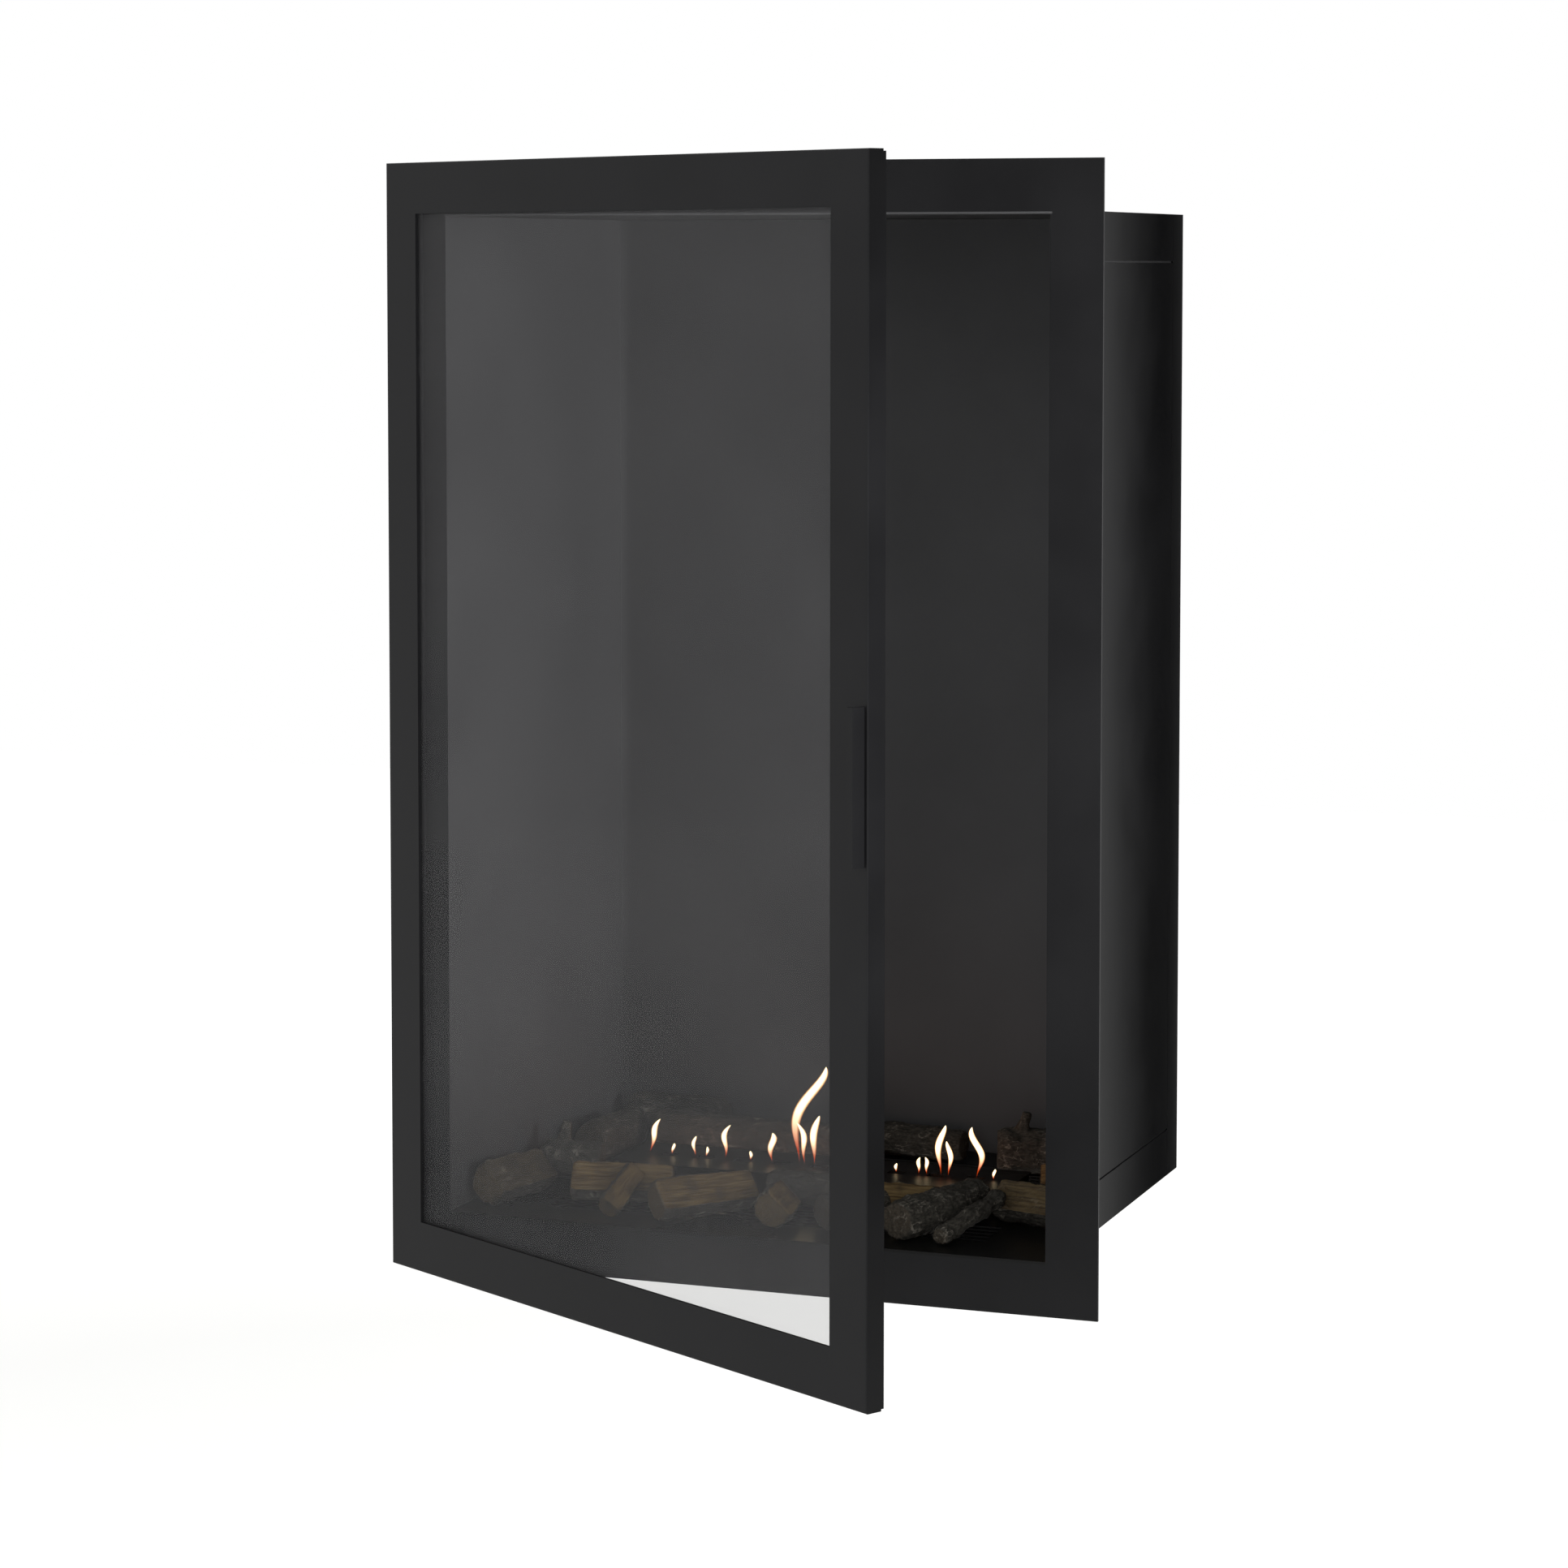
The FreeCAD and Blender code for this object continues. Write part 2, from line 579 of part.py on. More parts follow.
def build_clips(glass_x, glass_z):
    """Angle clips behind the front plate that hold the glass: three at each side, one above and below."""
    foot_y = (DOOR_PLATE_BACK, f"({GLASS_BACK} + clip_thick)")
    lip_y = (GLASS_BACK, f"({GLASS_BACK} + clip_thick)")
    places = []
    for foot_x, lip_x in clip_spans(glass_x):
        for level in (-1, 0, 1):
            along = about(f"({MID_HEIGHT} + {level} * clip_spread)", "clip_length / 2")
            places.append(((foot_x, along), (lip_x, along)))
    for foot_z, lip_z in clip_spans(glass_z):
        along = about(f"({WINDOW_X[0]} / 2 + {WINDOW_X[1]} / 2)", "clip_length / 2")
        places.append(((along, foot_z), (along, lip_z)))
    clips = []
    for i, (foot, lip) in enumerate(places):
        clips.append(fuse(f"clip_{i}", [
            plate(f"clip_foot_{i}", foot[0], foot_y, foot[1]),
            plate(f"clip_lip_{i}", lip[0], lip_y, lip[1]),
        ]))
    node("glass_clips", hang(group("glass_clip_group", clips)))


def build_seal_and_magnets():
    """Fibre seal round the door's back and two catch magnets beside it on the free edge."""
    seal_y = (DOOR_BACK, SEAL_BACK)
    seal, seal_hole = ring("seal", inset((DOOR_LEFT, DOOR_RIGHT), "seal_inset"), seal_y,
                           inset((FLANGE_LOW, FLANGE_HIGH), "seal_inset"), "seal_width")
    node("door_seal", hang(cut("door_seal_cut", seal, [seal_hole])))

    magnet_x = (f"{DOOR_RIGHT} - magnet_inset - magnet_width", f"{DOOR_RIGHT} - magnet_inset")
    magnets = []
    for side in (-1, 1):
        span = about(f"({MID_HEIGHT} + {side} * magnet_spread)", "magnet_height / 2")
        magnets.append(plate(f"magnet_{side + 1}", magnet_x, seal_y, span))
    node("door_magnets", hang(group("door_magnet_group", magnets)))


def build_handle():
    """Angle-section pull: a fin on the door's front near its free edge, with a lip towards the hinge."""
    body = doc.addObject("PartDesign::Body", "door_handle_body")
    section = new_sketch(body, "handle_section", "XY_Plane")
    draw_outline(section, [
        ("handle_lip", "handle_reach"),
        ("handle_lip - handle_thick", "handle_reach"),
        ("handle_lip - handle_thick", "handle_thick"),
        ("0", "handle_thick"),
        ("0", "0"),
        ("handle_lip", "0"),
    ])
    pad = body.newObject("PartDesign::Pad", "handle_pad")
    pad.Profile = section
    bind(pad, "Length", "handle_height")
    doc.recompute()
    # The section's corner is carried round the hinge axis with the rest of the door.
    across = f"({DOOR_RIGHT} - handle_edge_gap - handle_lip)"
    out = f"({DOOR_FRONT} - handle_reach)"
    turn = "(door_rest_angle * 1 deg)"
    body.Placement.Rotation = FreeCAD.Rotation(FreeCAD.Vector(0, 0, 1), -SIZES["door_rest_angle"])
    place(body, f"{PIVOT_X} + {across} * cos({turn}) + {out} * sin({turn})",
          f"{PIVOT_Y} - {across} * sin({turn}) + {out} * cos({turn})",
          f"{MID_HEIGHT} - handle_height / 2")
    bind(body, "Placement.Rotation.Angle", "-door_rest_angle * 1 deg")
    node("door_handle", body)


def build_burner():
    """Shallow fuel tray with a fibre wick, a ported top and a regulator plate that slides under it."""
    middle = "burner_offset"
    inner_x = about("0", TANK_HALF_LENGTH)
    inner_y = about(middle, TANK_HALF_WIDTH)
    tank = plate("tank_block", about("0", "burner_length / 2"), about(middle, "burner_width / 2"),
                 (HEARTH_TOP, TANK_TOP))
    cavity = plate("tank_cavity", inner_x, inner_y, (TANK_FLOOR, f"{TANK_TOP} + 1"))
    rod_hole = level_rod("tank_rod_hole", "rod_radius + rod_clearance", (1, 0, 0),
                         f"{TANK_HALF_LENGTH} - 1", middle, ROD_LEVEL, "burner_wall + 2")
    node("burner_tank", cut("burner_tank_cut", tank, [cavity, rod_hole]))

    wick_x = (f"{inner_x[0]} + wick_clearance", f"{inner_x[1]} - wick_end_gap")
    node("fuel_wick", plate("fuel_wick_pad", wick_x, inset(inner_y, "wick_clearance"),
                            (TANK_FLOOR, f"{TANK_FLOOR} + wick_thick")))

    rail_z = (f"{RAIL_TOP} - rail_height", RAIL_TOP)
    rails = [
        plate("rail_front", inner_x, (inner_y[0], f"{inner_y[0]} + rail_width"), rail_z),
        plate("rail_rear", inner_x, (f"{inner_y[1]} - rail_width", inner_y[1]), rail_z),
    ]
    node("regulator_rails", group("regulator_rail_group", rails))

    ports = int(SIZES["flame_port_count"])
    top_half_length = "(burner_length / 2 + burner_top_overhang)"
    top_half_width = "(burner_width / 2 + burner_top_overhang)"
    first = f"({top_half_length} - {PORT_ROW} - flame_port_length / 2)"
    port = ((first, f"{top_half_width} - flame_port_width / 2"),
            (f"{first} + flame_port_length", f"{top_half_width} + flame_port_width / 2"),
            "H_Axis", "flame_port_pitch", ports)
    top = slotted_plate("burner_top_body", f"2 * {top_half_length}", f"2 * {top_half_width}",
                        "burner_top_thick", [port])
    node("burner_top", place(top, f"-{top_half_length}", f"{middle} - {top_half_width}", TANK_TOP))
    build_regulator(ports)


def build_regulator(ports):
    """Regulator plate with ports that line up with the top's at rest, its tab, rod and knob."""
    middle = "burner_offset"
    left_end = f"(-{PORT_ROW} - regulator_end_margin)"
    half_width = f"({TANK_HALF_WIDTH} - regulator_side_clearance)"
    first = "(regulator_end_margin - flame_port_length / 2)"
    port = ((first, f"{half_width} - flame_port_width / 2"),
            (f"{first} + flame_port_length", f"{half_width} + flame_port_width / 2"),
            "H_Axis", "flame_port_pitch", ports)
    leaf = slotted_plate("regulator_body", f"{TAB_RIGHT} - {left_end}", f"2 * {half_width}",
                         "regulator_thick", [port])
    place(leaf, left_end, f"{middle} - {half_width}", REGULATOR_LOW)
    tab = plate("regulator_tab", (f"{TAB_RIGHT} - regulator_thick", TAB_RIGHT),
                (f"{middle} - regulator_tab_width / 2", f"{middle} + regulator_tab_width / 2"),
                (f"{REGULATOR_LOW} - regulator_tab_drop", REGULATOR_LOW))
    node("regulator_slide", fuse("regulator_slide_fuse", [leaf, tab]))
    rod = level_rod("regulator_rod_bar", "rod_radius", (1, 0, 0), TAB_RIGHT, middle, ROD_LEVEL, ROD_LENGTH)
    node("regulator_rod", rod)

    knob = doc.addObject("PartDesign::Body", "regulator_knob_body")
    profile = new_sketch(knob, "knob_profile", "XZ_Plane")
    draw_outline(profile, [
        ("0", "0"),
        ("0", "knob_waist"),
        ("knob_length / 2", "knob_waist"),
        ("knob_length * 3 / 4", "knob_radius"),
        ("knob_length", "knob_radius"),
        ("knob_length", "0"),
    ])
    turn = knob.newObject("PartDesign::Revolution", "knob_turn")
    turn.Profile = profile
    turn.ReferenceAxis = (profile, ["H_Axis"])
    turn.Angle = 360.0
    doc.recompute()
    node("regulator_knob", place(knob, f"{TAB_RIGHT} + {ROD_LENGTH}", middle, ROD_LEVEL))


def log_ring(section, radius, x):
    corners = []
    for angle, share in section:
        turn = math.radians(angle)
        corners.append(FreeCAD.Vector(x, radius * share * math.cos(turn), radius * share * math.sin(turn)))
    return Part.makePolygon([*corners, corners[0]])


def plan_edges():
    """Walls and burner edges across and along the hearth, as they are now."""
    wall = size("housing_width") / 2 - size("skin") - size("liner")
    front = -size("housing_depth") / 2
    back = size("housing_depth") / 2 - size("skin") - size("insulation") - size("liner")
    burner_end = size("burner_length") / 2 + size("burner_top_overhang")
    burner_edge = size("burner_width") / 2 + size("burner_top_overhang")
    middle = size("burner_offset")
    return (-wall, -burner_end, burner_end, wall), (front, middle - burner_edge, middle + burner_edge, back)


def carry(value, drawn, edges):
    """Move a coordinate with the bay that it was drawn in: its new place and the bay's growth."""
    bay = max(i for i in range(len(drawn) - 1) if i == 0 or drawn[i] <= value)
    growth = (edges[bay + 1] - edges[bay]) / (drawn[bay + 1] - drawn[bay])
    return edges[bay] + (value - drawn[bay]) * growth, growth


def log_plan(ends, radius):
    """Ends and radius of a log as its bay is now: beside the burner it keeps between burner and wall."""
    edges_x, edges_y = plan_edges()
    depths = [y for _, y in ends]
    beside = min(depths) < DRAWN_Y[2] and max(depths) > DRAWN_Y[1]
    walls = slice(None) if beside else slice(None, None, len(DRAWN_X) - 1)
    across = [carry(x, DRAWN_X[walls], edges_x[walls]) for x, _ in ends]
    along = [carry(y, DRAWN_Y, edges_y) for y in depths]
    radius *= min(1.0, *[growth for _, growth in along])
    if beside:
        radius = min(radius, LOG_BAY_SHARE * (edges_x[-1] - edges_x[-2]))
    else:
        radius *= min(1.0, *[growth for _, growth in across])
    return [(x[0], y[0]) for x, y in zip(across, along)], radius


def log_solid(section, length, radius, stub, share):
    """A faceted log along +X with bevelled ends, and a broken branch stub where it has one."""
    bevel = size("log_end_bevel") * share
    stub_radius = size("stub_radius") * share
    stub_length = size("stub_length") * share
    stations = [
        (0.0, LOG_END_SHARE),
        (bevel, 1.0),
        (length - bevel, LOG_TAPER),
        (length, LOG_TAPER * LOG_END_SHARE),
    ]
    solid = Part.makeLoft([log_ring(section, radius * share, x) for x, share in stations], True, True)
    if stub:
        along, tilt = stub
        knot = Part.makeLoft([
            log_ring(ROUND_SECTION, stub_radius, radius * 0.5),
            log_ring(ROUND_SECTION, stub_radius * 0.6, radius * 0.5 + stub_length),
        ], True, True)
        knot.Placement = FreeCAD.Placement(
            FreeCAD.Vector(length * along, 0, 0), FreeCAD.Rotation(FreeCAD.Vector(0, 1, 0), -tilt))
        solid = solid.fuse(knot).removeSplitter()
        solid = solid.Solids[0]
    return solid


def lay_log(item, shape, start, yaw, lean, floor):
    """Set a log on the hearth: its lowest corner lies a seat gap above the plate."""
    turned = FreeCAD.Rotation(FreeCAD.Vector(0, 0, 1), yaw)
    raised = FreeCAD.Rotation(FreeCAD.Vector(0, 1, 0), -lean)
    item.Shape = shape
    item.Placement = FreeCAD.Placement(FreeCAD.Vector(*start, 0), turned.multiply(raised))
    item.Placement.Base.z = floor - item.Shape.BoundBox.ZMin


def build_logs():
    """Ceramic logs: most lie on the hearth, a few lean with one end on another log."""
    floor = size("skin") + size("hearth_thick") + size("log_seat_gap")
    for name, (section, *ends, drawn_radius, carrier, stub) in LOGS.items():
        (start, end), radius = log_plan(ends, drawn_radius)
        run = math.dist(start, end)
        yaw = math.degrees(math.atan2(end[1] - start[1], end[0] - start[0]))
        item = doc.addObject("Part::Feature", f"{name}_solid")
        shape = log_solid(section, run, radius, stub, radius / drawn_radius)
        lay_log(item, shape, start, yaw, 0.0, floor)
        if carrier:
            low, high = 0.0, LEAN_LIMIT
            for _ in range(LEAN_STEPS):
                lean = (low + high) / 2
                lay_log(item, shape, start, yaw, lean, floor)
                if item.Shape.distToShape(nodes[carrier].Shape)[0] < size("log_seat_gap"):
                    low = lean
                else:
                    high = lean
            lay_log(item, shape, start, yaw, high, floor)
        node(name, item)


def check_and_export():
    """Stop if anything failed to build, then write one file per piece."""
    doc.recompute()
    for item in doc.Objects:
        if {"Invalid", "Error"} & set(item.State):
            raise RuntimeError(f"{item.Name} failed to build: {item.getStatusString()}")
    os.makedirs("parts", exist_ok=True)
    for label, item in nodes.items():
        shape = item.Shape
        if shape.isNull() or not shape.isValid() or not shape.Solids:
            raise RuntimeError(f"{label} has no valid solid")
        shape.exportStep(f"parts/{label}.step")
        print(f"{label}: {len(shape.Solids)} solids, {shape.Volume / 1000:.2f} cm3")


fill_sheet()
build_housing()
build_lining()
build_door(build_hinges())
build_burner()
doc.recompute()
build_logs()
check_and_export()
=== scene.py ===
"""Looks of the built-in bioethanol fireplace: powder-coated sheet steel, a toned glass door, a bed of
charred ceramic logs and small alcohol flames. Metres, in the same frame as the solids."""

import json
import math

import bmesh
import bpy
import numpy as np
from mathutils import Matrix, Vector


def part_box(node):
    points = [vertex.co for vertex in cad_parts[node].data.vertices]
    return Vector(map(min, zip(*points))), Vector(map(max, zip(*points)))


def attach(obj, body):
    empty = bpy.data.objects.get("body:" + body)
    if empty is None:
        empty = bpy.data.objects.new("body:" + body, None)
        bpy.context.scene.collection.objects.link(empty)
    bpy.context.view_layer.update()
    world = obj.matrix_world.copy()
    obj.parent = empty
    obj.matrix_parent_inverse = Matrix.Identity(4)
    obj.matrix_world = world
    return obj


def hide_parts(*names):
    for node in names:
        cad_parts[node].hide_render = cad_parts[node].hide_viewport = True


MM = 0.001

# Short names for the kinds of node that are used most
MATH = "ShaderNodeMath"
VECTOR_MATH = "ShaderNodeVectorMath"
MAP_RANGE = "ShaderNodeMapRange"
MIX = "ShaderNodeMixRGB"
NOISE = "ShaderNodeTexNoise"
BUMP = "ShaderNodeBump"
ATTRIBUTE = "ShaderNodeAttribute"
STORE = "GeometryNodeStoreNamedAttribute"
POSITION = "GeometryNodeInputPosition"
SET_POSITION = "GeometryNodeSetPosition"
REALIZE = "GeometryNodeRealizeInstances"

# Camera: where the photograph was taken from, worked out from the edges of the flange and the door
CAMERA_PLACE = (1.4289, -4.0222, 0.9541)
CAMERA_AZIMUTH = 20.3775
CAMERA_PITCH = 3.8999
CAMERA_SHIFT = (0.01408, -0.15)
FRAME_PIXELS = 1932
FOCAL_PIXELS = 5169.7
SENSOR_WIDTH = 36.0

# Stage: the insert is shown as it hangs in its wall, well clear of the floor
FLOOR_LEVEL = -0.65
FLOOR_SIZE = 16.0
FLOOR_WHITE = "f2f2f0"
# The floor's own glow, which keeps it white, near the object and far off, and these two distances
FLOOR_HELP = (0.31, 0.68)
FLOOR_HELP_REACH = (2.2, 4.6)
# Strength of the white room as a light
AMBIENT = 0.50
# Black cards that only mirrors see, each a wall from one point of the plan to another
FLAGS = {
    "side_flag": ((0.32, 0.28), (0.42, 0.28)),
    "right_flag": ((1.30, -1.60), (1.30, 0.10)),
}
FLAG_FOOT = -0.2
FLAG_TOP = 1.3
# Softboxes: watts, place, aim and width
SOFTBOXES = {
    "key_softbox": (62.0, (-2.2, -3.4, 2.4), (0.0, -0.2, 0.5), 2.0),
    "front_softbox": (98.0, (0.4, -4.6, 0.45), (0.0, 0.0, 0.5), 2.5),
    "right_softbox": (45.0, (2.6, -2.6, 0.9), (-0.2, 0.0, 0.5), 1.6),
    "rear_softbox": (50.0, (1.5, 3.2, 2.4), (0.0, 0.2, 0.5), 2.0),
}
# A spot that shines past the open door and lights the left lining as far as its rear corner
SPOT_WATTS = 290.0
SPOT_PLACE = (1.9, -1.41, 0.65)
SPOT_AIM = (-0.31, 0.0, 0.60)
SPOT_CONE = 31.0
SPOT_BLEND = 0.8
SPOT_SIZE = 0.012
# Warm light of the flames: place along the burner and watts
GLOWS = {"glow_left": (-0.150, 0.06), "glow_middle": (-0.012, 0.12), "glow_right": (0.150, 0.10)}
GLOW_ROW = -0.005
GLOW_HEIGHT = 0.055
GLOW_SIZE = 0.012
GLOW_COLOUR = "ff8c3a"

# Nearly all values of a noise texture lie between these two
NOISE_LOW = 0.3
NOISE_HIGH = 0.7
# Spacing of the patterns in the finishes, in millimetres
SHEEN_CLOUD = 90
ORANGE_PEEL = 2.4
SOOT_CLOUD = 170
SPRAY_GRAIN = 1.8
HEAT_CLOUD = 40
GLASS_REFLECTION_AND_SOOT_CLOUD = 240
WOOD_GRAIN = 2.0
CHAR_PATCH = 22
# How much of what lies behind it each face of the pane covers
GLASS_COVER = (0.165, 0.180)
# Front edges of the side linings: at most this far behind the flange, in millimetres, and looking forward
LINING_EDGE = 2
FORWARD = -0.9

# Logs: skin, ridges of the bark and broad lumps under them in millimetres, and rounding in passes. A
# stretch multiplies the coordinate along the log: under 1 it draws the pattern out, over 1 it packs it
LOG_VOXEL = 1.2
BARK_ROUNDING = 5
SPLIT_ROUNDING = 2
BARK_RIDGE = 2.2
RIDGE_SPACING = 9.0
LUMP = 8.0
LUMP_SPACING = 30.0
LUMP_STRETCH = 1.8
BARK_STRETCH = 0.42
FIBRE_STRETCH = 0.07
# A ridge stands where the noise passes its middle value; heights are counted from these levels
FOLD_GAIN = 4.5
RIDGE_DATUM = 0.75
LUMP_DATUM = 0.55
# How squarely a face looks along the split side or the log's axis to count as split or sawn
SPLIT_FACING = (0.80, 0.90)
SAWN_FACING = (0.60, 0.80)
# Relief left on bare wood, and bare wood on the sawn ends of bark logs
WOOD_RELIEF = 0.25
SAWN_ON_BARK = 0.35
# Split faces darkened towards the bark: painted shade on log_left_front, which lies in shade, and soot on
# log_right_split. The share of bare wood that still shows
SOOT_AND_SHADE_ON_SPLITS = {"log_left_front": 0.25, "log_right_split": 0.6}

# Flames on the burner's middle line, in millimetres: foot x, height, half width, lean to the right,
# curl, and the turn at which the curl starts
FLAMES = [
    (-188, 36, 3.4, 14, 5, 0.10),
    (-163, 12, 2.0, 2, 1, 0.60),
    (-137, 21, 2.2, -2, 3, 0.35),
    (-125, 11, 1.8, 2, 1, 0.80),
    (-104, 35, 3.2, 5, 6, 0.20),
    (-76, 10, 2.0, 1, 1, 0.90),
    (-52, 31, 4.0, -3, 5, 0.55),
    (-22, 104, 6.5, 10, 20, 0.48),
    (-6, 52, 4.2, 3, 4, 0.30),
    (-16, 44, 3.4, -8, 5, 0.70),
    (83, 9, 1.8, 0, 1, 0.30),
    (107, 17, 2.2, 2, 2, 0.15),
    (116, 18, 2.2, -2, 2, 0.65),
    (131, 52, 3.8, -1, 6, 0.40),
    (139, 36, 3.0, 2, 4, 0.90),
    (169, 52, 4.2, 6, 12, 0.00),
    (187, 11, 1.8, 1, 1, 0.50),
]
FLAME_ROWS = 40
FLAME_COLUMNS = 25
FLAME_FLATNESS = 0.45
# A tongue swells from its foot as v^a * (1 - v)^b, where v goes from 0 at the foot to 1 at the tip:
# a thin stem, and a head that is widest at two thirds of the height, where the peak factor makes it 1
FLAME_SWELL = 1.5
FLAME_TAPER = 0.75
FLAME_PEAK = 4.19
# Turns of the curl from foot to tip, how late the lean sets in, and the sway in depth as a share of the
# sway across
FLAME_TURNS = 0.8
FLAME_BEND = 1.4
FLAME_TOSS = 0.5


def linear(hex_colour):
    """An sRGB hex colour as linear red, green, blue and alpha."""
    shares = [int(hex_colour[i:i + 2], 16) / 255 for i in (0, 2, 4)]
    return (*[c / 12.92 if c <= 0.04045 else ((c + 0.055) / 1.055) ** 2.4 for c in shares], 1.0)


def add(tree, kind, inputs=None, output=0, **settings):
    """Add a node and give one output. Settings are properties; inputs are values, or sockets to link."""
    item = tree.nodes.new(kind)
    for name, value in settings.items():
        setattr(item, name, value)
    for key, value in (inputs or {}).items():
        if isinstance(value, bpy.types.NodeSocket):
            tree.links.new(value, item.inputs[key])
        else:
            item.inputs[key].default_value = value
    return item.outputs[output] if len(item.outputs) else None


def start_material(name):
    """An empty material, its node tree, and the object's own coordinates."""
    material = bpy.data.materials.new(name)
    material.use_nodes = True
    material.node_tree.nodes.clear()
    return material, material.node_tree, add(material.node_tree, "ShaderNodeTexCoord", output="Object")


def end_material(tree, sockets):
    """Close a material with one Principled shader."""
    surface = add(tree, "ShaderNodeBsdfPrincipled", sockets)
    add(tree, "ShaderNodeOutputMaterial", {"Surface": surface})


def powder_coat(name, dark, pale, roughness, specular):
    """Polyester powder coat, sprayed on sheet steel and baked: satin black with a fine orange peel, and
    a sheen that drifts a little from place to place. The peel is 1.5 mm in life, drawn wider to show."""
    material, tree, place = start_material(name)
    drift = add(tree, NOISE, {"Vector": place, "Scale": 1 / (SHEEN_CLOUD * MM), "Detail": 2.0})
    peel = add(tree, NOISE, {"Vector": place, "Scale": 1 / (ORANGE_PEEL * MM), "Detail": 1.0})
    tone = add(tree, MAP_RANGE, {"Value": drift, "From Min": NOISE_LOW, "From Max": NOISE_HIGH})
    end_material(tree, {
        "Base Color": add(tree, MIX, {"Fac": tone, "Color1": linear(dark), "Color2": linear(pale)}),
        "Roughness": add(tree, MAP_RANGE, {
            "Value": tone, "To Min": roughness - 0.03, "To Max": roughness + 0.04,
        }),
        "Normal": add(tree, BUMP, {"Height": peel, "Distance": 0.02 * MM, "Strength": 0.4}),
        "Specular IOR Level": specular,
    })
    return material


def heat_paint(name, dark, pale, roughness, specular):
    """Silicone heat paint, sprayed matt black on the firebox sheets: greyer where soot has settled in
    soft clouds, with the dry grain of the spray, drawn a little wide to show."""
    material, tree, place = start_material(name)
    soot = add(tree, NOISE, {"Vector": place, "Scale": 1 / (SOOT_CLOUD * MM), "Detail": 4.0})
    spray = add(tree, NOISE, {"Vector": place, "Scale": 1 / (SPRAY_GRAIN * MM), "Detail": 2.0})
    tone = add(tree, MAP_RANGE, {"Value": soot, "From Min": NOISE_LOW, "From Max": NOISE_HIGH})
    end_material(tree, {
        "Base Color": add(tree, MIX, {"Fac": tone, "Color1": linear(dark), "Color2": linear(pale)}),
        "Roughness": add(tree, MAP_RANGE, {
            "Value": tone, "To Min": roughness - 0.04, "To Max": roughness + 0.06,
        }),
        "Normal": add(tree, BUMP, {"Height": spray, "Distance": 0.03 * MM, "Strength": 0.4}),
        "Specular IOR Level": specular,
    })
    return material


def drawn_metal(name, dark, pale, roughness, line_mm):
    """Bare or plated metal: fine drawing lines along the piece, and a tone that clouds with heat and
    handling."""
    material, tree, place = start_material(name)
    along = add(tree, "ShaderNodeMapping", {"Vector": place, "Scale": (0.03, 1.0, 1.0)})
    lines = add(tree, NOISE, {"Vector": along, "Scale": 1 / (line_mm * MM), "Detail": 2.0})
    cloud = add(tree, NOISE, {"Vector": place, "Scale": 1 / (HEAT_CLOUD * MM), "Detail": 3.0})
    tone = add(tree, MAP_RANGE, {"Value": cloud, "From Min": NOISE_LOW, "From Max": NOISE_HIGH})
    end_material(tree, {
        "Base Color": add(tree, MIX, {"Fac": tone, "Color1": linear(dark), "Color2": linear(pale)}),
        "Roughness": add(tree, MAP_RANGE, {
            "Value": lines, "From Min": NOISE_LOW, "From Max": NOISE_HIGH,
            "To Min": roughness - 0.07, "To Max": roughness + 0.10,
        }),
        "Normal": add(tree, BUMP, {"Height": lines, "Distance": 0.02 * MM, "Strength": 0.5}),
        "Metallic": 1.0,
    })
    return material


def mineral_fibre(name, dark, pale, strand_mm, depth_mm):
    """Felted, braided or woven mineral fibre: dead matt, with short tangled strands and soft shadows in
    them."""
    material, tree, place = start_material(name)
    strands = add(tree, NOISE, {
        "Vector": place, "Scale": 1 / (strand_mm * MM), "Detail": 5.0, "Roughness": 0.7,
        "Distortion": 0.6,
    })
    tone = add(tree, MAP_RANGE, {"Value": strands, "From Min": NOISE_LOW, "From Max": NOISE_HIGH})
    end_material(tree, {
        "Base Color": add(tree, MIX, {"Fac": tone, "Color1": linear(dark), "Color2": linear(pale)}),
        "Normal": add(tree, BUMP, {"Height": strands, "Distance": depth_mm * MM}),
        "Roughness": 0.95,
        "Specular IOR Level": 0.1,
    })
    return material


def toned_glass(name):
    """Toned ceramic glass, rolled and fired: it dims what lies behind it and mirrors the room faintly.
    Its thin grey veil in broad clouds is partly a film of soot and partly a painted reflection of the
    white room, put into the glass's base colour."""
    material, tree, place = start_material(name)
    reflection_and_soot_veil = add(tree, NOISE, {"Vector": place, "Scale": 1 / (GLASS_REFLECTION_AND_SOOT_CLOUD * MM), "Detail": 3.0})
    tone = add(tree, MAP_RANGE, {"Value": reflection_and_soot_veil, "From Min": NOISE_LOW, "From Max": NOISE_HIGH})
    end_material(tree, {
        # painted reflection: the grey base colour stands in for the white room mirrored in the pane,
        # together with a film of soot
        "Base Color": add(tree, MIX, {
            "Fac": tone, "Color1": linear("4a4a4b"), "Color2": linear("525253"),
        }),
        "Alpha": add(tree, MAP_RANGE, {
            "Value": tone, "To Min": GLASS_COVER[0], "To Max": GLASS_COVER[1],
        }),
        "Roughness": 0.05,
        "Specular IOR Level": 0.15,
    })
    return material


